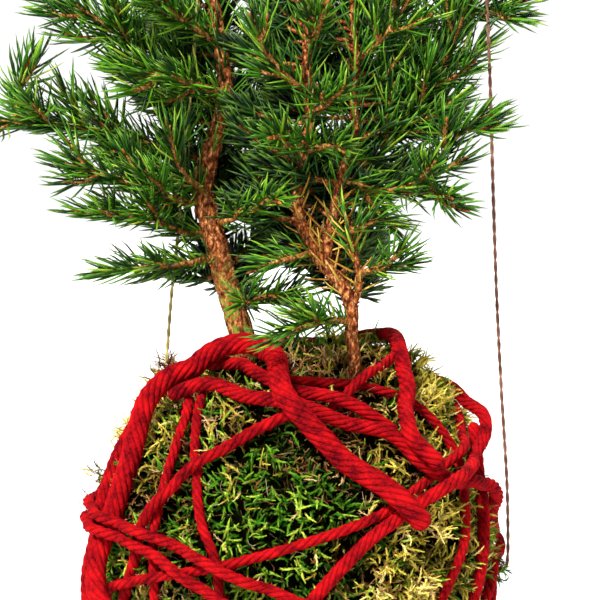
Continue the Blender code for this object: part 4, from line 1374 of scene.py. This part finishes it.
@dataclass(frozen=True)
class Needle:
    """A slim spruce needle; sizes in millimetres."""

    width: float = 0.95
    thickness: float = 0.75

    @cache
    def modelled(self, bend: float) -> Shape:
        """A needle one unit long, widest in its middle and pointed, from a three-sided disc drawn out in steps.

        Args:
            bend: How far the tip bows to +Y, as a share of the length.

        Returns:
            The needle, standing on the origin along +Z.
        """
        deselect_all()
        bpy.ops.mesh.primitive_circle_add(vertices=3, radius=0.24, fill_type="NGON")
        needle = bpy.context.active_object
        bpy.ops.object.mode_set(mode="EDIT")
        for rise, wider in ((0.16, 2.3), (0.56, 0.8)):
            bpy.ops.mesh.extrude_region_move(TRANSFORM_OT_translate={"value": (0, 0, rise)})
            bpy.ops.transform.resize(value=(wider, wider, 1))
        bpy.ops.mesh.extrude_region_move(TRANSFORM_OT_translate={"value": (0, 0, 0.28)})
        bpy.ops.mesh.merge(type="CENTER")
        bpy.ops.mesh.select_all(action="SELECT")
        bpy.ops.mesh.normals_make_consistent(inside=False)
        bpy.ops.object.mode_set(mode="OBJECT")
        shape = modelled(needle)
        shape.points[:, 1] += bend * shape.points[:, 2] ** 2
        return shape


@dataclass(frozen=True)
class Bud:
    """A small pointed bud in overlapping scales; sizes in millimetres."""

    length: float = 3.4
    width: float = 1.9

    @cache
    def modelled(self) -> Shape:
        """A bud one unit long and wide, drawn out to a point from a small ball.

        Returns:
            The bud, standing on the origin along +Z.
        """
        deselect_all()
        bpy.ops.mesh.primitive_uv_sphere_add(segments=7, ring_count=6, radius=0.5, location=(0, 0, 0.5))
        bud = bpy.context.active_object
        for vert in bud.data.vertices:
            high = vert.co.z + 0.5
            narrow = 1.0 - 0.45 * high**2
            vert.co.x *= narrow
            vert.co.y *= narrow
            vert.co.z += 0.12 * high**3
        return modelled(bud)


SHOOT_ROOM = 2.5
MOSS_TOPS = 1.0


def clear_room(points: Rows) -> Rows:
    """Clear distance from each point to the tops of the moss and to the nearest strand or twine."""
    outside = np.linalg.norm(points, axis=1) - BALL.height(unit(points)) - MOSS_TOPS
    return np.minimum(outside, BALL.clearance(points))


@dataclass
class Foliage:
    """Needles set round a line; lengths in millimetres, angles in degrees."""

    per_mm: float = 2.2
    length: float = 12.0
    base_angle: float = 62.0
    tip_angle: float = 26.0
    start: float = 2.0
    least_room: float = 0.25
    tints: tuple[float, float] = (0.1, 1.0)
    kind: Needle = field(default_factory=Needle)

    def along(self, line: Rows, radius: float, rng: np.random.Generator) -> Shape | None:
        """Needles in a spiral along a twig, parted on its underside, clear of the ball and the twines.

        Args:
            line: The middle of the twig.
            radius: Its radius.
            rng: Source of the scatter.

        Returns:
            All its needles as one shape, or None where none has room.
        """
        along = run_along(line)
        spots = np.arange(self.start, along[-1], 1 / self.per_mm)
        count = len(spots)
        near = np.clip(np.searchsorted(along, spots), 1, len(line) - 2)
        sides, overs = carried_sides(line)
        turn = GOLDEN_TURN * np.arange(count) + rng.uniform(-0.5, 0.5, count)
        out = np.cos(turn)[:, None] * sides[near] + np.sin(turn)[:, None] * overs[near]
        part = spots / along[-1]
        angle = np.radians(self.base_angle + (self.tip_angle - self.base_angle) * part**1.6
                           + rng.uniform(-12, 12, count))[:, None]
        travel = headings(line)[near]
        ways = travel * np.cos(angle) + out * np.sin(angle)
        ways[:, 2] = np.where(ways[:, 2] < 0, ways[:, 2] * 0.6, ways[:, 2]) + 0.12
        ways = unit(ways)
        lengths = self.length * rng.uniform(0.74, 1.1, count) * np.clip(0.6 + 2.4 * part, 0, 1) \
            * np.where(part > 0.9, 0.85, 1.0)
        roots = line[near] + out * radius * 0.7
        tips = roots + ways * lengths[:, None]
        middles = roots + ways * lengths[:, None] * 0.55
        kept = np.flatnonzero(np.minimum(clear_room(tips), clear_room(middles)) > self.least_room)
        if not len(kept):
            return None
        shapes = []
        for number, bend in enumerate((0.18, 0.32, 0.06)):
            some = kept[number::3]
            if len(some):
                widths = np.array((self.kind.width, self.kind.thickness)) * rng.uniform(0.85, 1.1, (len(some), 1))
                turns = aimed(ways[some], travel[some] + 0.01, widths, lengths[some])
                needle = self.kind.modelled(bend * self.length / self.kind.thickness)
                low, high = self.tints
                shapes.append(needle.copies(turns, roots[some], low + (high - low) * rng.beta(1.2, 1.6, len(some))))
        return Shape.joined(shapes)


@dataclass
class Trunk:
    """A woody stem with its bark, needle pegs and the needles it still bears; sizes in millimetres."""

    name: str
    node: str
    routes: Sequence[Stem]
    finish: Bark
    needles_from: Sequence[float]
    dry_between: tuple[float, float] = (0.0, 0.0)
    inner_from: float = 86.0
    inner_every: float = 2.0
    inner_length: float = 31.0
    pegs_per_mm: float = 2.0
    pegs_from: float = 74.0
    slim: float = 0.86
    rough: float = 0.13
    step: float = 0.8
    sides: int = 36

    def barked(self, stem: Stem) -> Shape:
        """One stem with flaking relief.

        Args:
            stem: Its route points with their radius.

        Returns:
            The stem as a closed shape.
        """
        line = route_line(stem, self.step)
        radii = stem_radii(stem, line) * self.slim
        first, second = carried_sides(line)
        angles = np.arange(self.sides) * 2 * math.pi / self.sides
        relief = np.zeros((len(line), self.sides))
        for row, (point, radius) in enumerate(zip(line, radii)):
            for column, angle in enumerate(angles):
                spot = Vector(point + (math.cos(angle) * first[row] + math.sin(angle) * second[row]) * radius)
                flat = Vector((spot.x, spot.y, spot.z * 0.45))
                relief[row, column] = noise.noise(flat * 0.55) + 0.7 * noise.noise(flat * 1.5) \
                    - 0.5 * max(0.0, 0.25 - noise.voronoi(flat * 0.6)[0][0])
        return tube(line, radii, self.sides, (first, second), relief * self.rough * radii[:, None])

    def pegs(self, stem: Stem, rng: np.random.Generator) -> Shape:
        """The small woody pegs that fallen needles leave behind.

        Args:
            stem: Its route points with their radius.
            rng: Source of the scatter.

        Returns:
            All the pegs as one shape.
        """
        line = route_line(stem, self.step)
        radii = stem_radii(stem, line) * self.slim
        above = np.flatnonzero(line[:, 2] > self.pegs_from)
        count = int(len(above) * self.step * self.pegs_per_mm)
        spot = above[np.sort(rng.integers(0, len(above), count))]
        turn = GOLDEN_TURN * np.arange(count)[:, None]
        first, second = carried_sides(line)
        out = np.cos(turn) * first[spot] + np.sin(turn) * second[spot]
        deselect_all()
        bpy.ops.mesh.primitive_cone_add(vertices=5, radius1=0.5, radius2=0.28, depth=1.0, location=(0, 0, 0.5))
        peg = modelled(bpy.context.active_object)
        ways = out + headings(line)[spot] * 0.9
        turns = aimed(ways, out + 0.01, rng.uniform(0.6, 1.0, count), rng.uniform(0.6, 1.1, count))
        return peg.copies(turns, line[spot] + out * radii[spot][:, None] * 0.88, rng.uniform(0, 1, count))

    def inner_shoots(self, line: Rows, rng: np.random.Generator) -> list[Rows]:
        """Lines of the short shoots that fill the depth behind a stem.

        Args:
            line: The stem's line.
            rng: Source of the scatter.

        Returns:
            The sampled line of each shoot that has room.
        """
        made = []
        for rise in np.arange(self.inner_from, line[:, 2].max() - 8, self.inner_every):
            start = line[np.argmin(abs(line[:, 2] - rise))]
            # The low ones stay right behind the stem, and those further up fan out.
            turn = math.radians(rng.uniform(-80, 80)) * min(1.0, (rise - 70) / 50)
            way = unit(np.array((math.sin(turn), math.cos(turn), rng.uniform(-0.15, 0.5))))
            length = self.inner_length * rng.uniform(0.7, 1.2)
            points = start + np.array([way * 0, way * length * 0.5, way * length + (0, 0, length * 0.12)])
            shoot = even_samples(points, 0.9)
            if clear_room(shoot[4:]).min() > SHOOT_ROOM:
                made.append(shoot)
        return made

    def build(self, rng: np.random.Generator) -> list[Rows]:
        """Make the bark, the pegs, the inner shoots and the stem's own needles.

        Args:
            rng: Source of the scatter.

        Returns:
            The lines of its stems, for the sprays to grow from.
        """
        lines = [route_line(stem, 1.0) for stem in self.routes]
        inner = [shoot for line in lines[:2] for shoot in self.inner_shoots(line, rng)]
        wood = Shape.joined([self.barked(stem) for stem in self.routes]
                            + [self.pegs(stem, rng) for stem in self.routes]
                            + [tube(shoot, 0.8 * rounded_ends(shoot, 1.0), 6) for shoot in inner])
        piece = wood.as_piece(f"{self.name}_bark", self.finish)
        hand_over(piece, self.node)
        # Painted shade: the needles of the inner shoots, deep behind the stems, take only the darkest tints.
        deep = Foliage(2.1, 11.5, start=7.0, tints=(0.0, 0.35), kind=Needle(width=1.25, thickness=1.0))
        tufts = [deep.along(shoot, 0.8, rng) for shoot in inner]
        dry = []
        for line, stem, lowest in zip(lines, self.routes, self.needles_from):
            radius = float(np.mean([part for _, part in stem[-5:]]))
            young = line[line[:, 2] > lowest]
            tufts.append(Foliage(per_mm=1.4, length=13.5, base_angle=56, tip_angle=38).along(young, radius, rng))
            old = line[(line[:, 2] > self.dry_between[0]) & (line[:, 2] < self.dry_between[1])]
            if len(old) > 9:
                dry.append(Foliage(per_mm=0.7, length=10.5, base_angle=74, tip_angle=60).along(old, radius, rng))
        for label, shapes, finish in (("needles", tufts, NEEDLE_SKIN), ("dry_needles", dry, DRY_NEEDLE_SKIN)):
            shapes = [shape for shape in shapes if shape]
            if shapes:
                hand_over(Shape.joined(shapes).as_piece(f"{self.name}_{label}", finish))
        LOG.info("%s: %d faces", piece.name, len(piece.data.polygons))
        return lines


@dataclass
class Spray:
    """A young branch with its side shoots, needles and buds; sizes in millimetres, angles in degrees."""

    name: str
    node: str
    reach: float
    route: Sequence[tuple[float, float, float]]
    thick: float = 1.25
    thin: float = 0.7
    needle_share: float = 1.65
    side_every: float = 9.0
    side_length: float = 20.0
    side_angle: float = 48.0
    short_by: float = 8.5
    swing: float = 0.3
    per_mm: float = 2.2
    tints: tuple[float, float] = (0.05, 1.0)
    lines: list[Rows] = field(default_factory=list)

    def main_line(self, bearers: list[Rows]) -> Rows:
        """The branch's own line, from inside what bears it to its tip.

        Args:
            bearers: Lines of the stems and twigs that it may grow from.

        Returns:
            The sampled line.
        """
        route = np.array(self.route, float)
        if bearers:
            every = np.vstack(bearers)
            root = every[np.argmin(np.linalg.norm(every - route[0], axis=1))]
            if np.linalg.norm(root - route[0]) > 0.5:
                route = np.vstack([root, route])
        line = even_samples(route, 0.9)
        along = run_along(line)
        return line[along <= along[-1] - self.short_by]

    def side_lines(self, line: Rows, rng: np.random.Generator) -> list[Rows]:
        """Lines of the side shoots, left and right in turn, shorter towards the tip.

        Args:
            line: The branch's own line.
            rng: Source of the scatter.

        Returns:
            The sampled line of each side shoot that has room.
        """
        along = run_along(line)
        made = []
        side = 1.0
        for spot in np.arange(9.0, along[-1] - 8.0, self.side_every):
            place = int(np.searchsorted(along, spot + rng.uniform(-2, 2)))
            way = headings(line)[place]
            flat = unit(np.cross(way, (0.0, 0.0, 1.0)) + rng.uniform(-0.2, 0.2, 3)) * side
            # They spread flat where the branch is level, and all round where it is steep.
            swing = rng.uniform(-1, 1) * (self.swing + 1.4 * abs(way[2]))
            flat = flat * math.cos(swing) + np.cross(way, flat) * math.sin(swing)
            side = -side
            length = self.side_length * (1.0 - 0.6 * spot / along[-1]) * rng.uniform(0.8, 1.15)
            lean = math.radians(self.side_angle + rng.uniform(-8, 8))
            start = unit(way * math.cos(lean) + flat * math.sin(lean) + np.array((0, 0, 0.12)))
            end = unit(start + way * 0.45 + np.array((0, 0, 0.15)))
            points = np.array([line[place], line[place] + start * length * 0.5,
                               line[place] + start * length * 0.5 + end * length * 0.5])
            shoot = even_samples(points, 0.9)
            if clear_room(shoot[3:]).min() > SHOOT_ROOM:
                made.append(shoot)
        return made

    def build(self, bearers: list[Rows], rng: np.random.Generator) -> Rows:
        """Make the branch, its side shoots, their needles and their buds.

        Args:
            bearers: Lines of the stems and twigs that it may grow from.
            rng: Source of the scatter.

        Returns:
            The branch's own line.
        """
        line = self.main_line(bearers)
        self.lines = [line] + self.side_lines(line, rng)
        wood, green = [], []
        for number, part in enumerate(self.lines):
            share = run_along(part) / run_along(part)[-1]
            thick = self.thick if number == 0 else 0.85
            radii = (thick + (self.thin - thick) * share) * rounded_ends(part, 1.0)
            relief = np.array([[0.12 * noise.noise(Vector(point) * 1.3 + Vector((side, 0, 0))) for side in range(8)]
                               for point in part])
            wood.append(tube(part, radii, 8, None, relief))
            foliage = Foliage(self.per_mm, self.reach * self.needle_share, tints=self.tints)
            green.append(foliage.along(part, self.thin, rng))
        twig = Shape.joined(wood).as_piece(f"twig_{self.name}", TWIG_BARK)
        hand_over(twig, self.node)
        needles = Shape.joined([shape for shape in green if shape])
        hand_over(needles.as_piece(f"needles_{self.name}", NEEDLE_SKIN), self.node)
        self.add_buds(rng)
        return line

    def add_buds(self, rng: np.random.Generator) -> None:
        """A bud at each tip, and two beside the branch's own."""
        ways, places, sizes = [], [], []
        for number, line in enumerate(self.lines):
            way = headings(line)[-1]
            side = unit(np.cross(way, (0.2, 0.1, 1.0)))
            ways.append(way)
            places.append(line[-1])
            sizes.append(1.0 if number == 0 else 0.7)
            if number == 0:
                ways += [way + side * 0.9, way - side * 0.8]
                places += [line[-2], line[-2]]
                sizes += [0.72, 0.66]
        size = np.array(sizes) * rng.uniform(0.85, 1.1)
        ups = np.tile((0.31, 0.27, 0.5), (len(ways), 1))
        turns = aimed(np.array(ways), ups, Bud.width * size, Bud.length * size)
        shape = Bud().modelled().copies(turns, np.array(places), rng.uniform(0, 1, len(ways)))
        hand_over(shape.as_piece(f"buds_{self.name}", BUD_SCALE))


@dataclass
class Spruce:
    """All the stems and sprays of the young spruces."""

    leader_length: float = 28.0

    def build(self, rng: np.random.Generator) -> None:
        """Make the stems first, then the leading shoots and the side sprays from them."""
        left = Trunk("left_stem", "stem_left", (STEM_LEFT,), FOOT_BARK, needles_from=(132,), slim=0.88)
        right = Trunk("right_stem", "stem_right", (STEM_CENTRE, STEM_RIGHT, STEM_SLIM), STEM_BARK,
                      needles_from=(118, 118, 99), dry_between=(86, 124), slim=0.8)
        bearers = left.build(rng) + right.build(rng)
        for name, stem in LEADERS:
            tip, before = np.array(stem[-1][0], float), np.array(stem[-2][0], float)
            route = tip + unit(tip - before) * np.linspace(0, self.leader_length, 5)[:, None]
            Spray(f"leader_{name}", f"leader_{name}", 8.5, route, thick=1.1).build([], rng)
        for name, reach, route in SPRAYS:
            spray = Spray(name, f"spray_{name}", reach, route)
            for names, habit in HABITS:
                if name.startswith(names):
                    spray = replace(spray, **habit)
            bearers.append(spray.build(bearers, rng))
        LOG.info("spruce: %d sprays", len(SPRAYS) + len(LEADERS))


def dress_hidden_soil() -> None:
    """Give the soil inside the moss its own finish."""
    soil = frame["nodes"]["soil_ball"]
    for slot in soil.material_slots:
        slot.material = PEAT.material()


def main() -> None:
    """Set up the studio and build the plant from the cords and the ball outwards."""
    logging.basicConfig(level=logging.INFO, format="%(message)s")
    studio = Studio()
    studio.set_camera()
    rng = np.random.default_rng(SEED)
    Twine("twine_right", TWINE_RIGHT, KNOT_RIGHT, BROWN_TWINE).build(rng)
    Twine("twine_left", TWINE_LEFT, KNOT_LEFT, STRAW_TWINE).build(rng)
    studio.lay_floor()
    studio.light()
    dress_hidden_soil()
    WoolBinding().build(rng)
    MossBall().build(rng)
    Spruce().build(np.random.default_rng(SPRUCE_SEED))


if __name__ == "__main__":
    main()
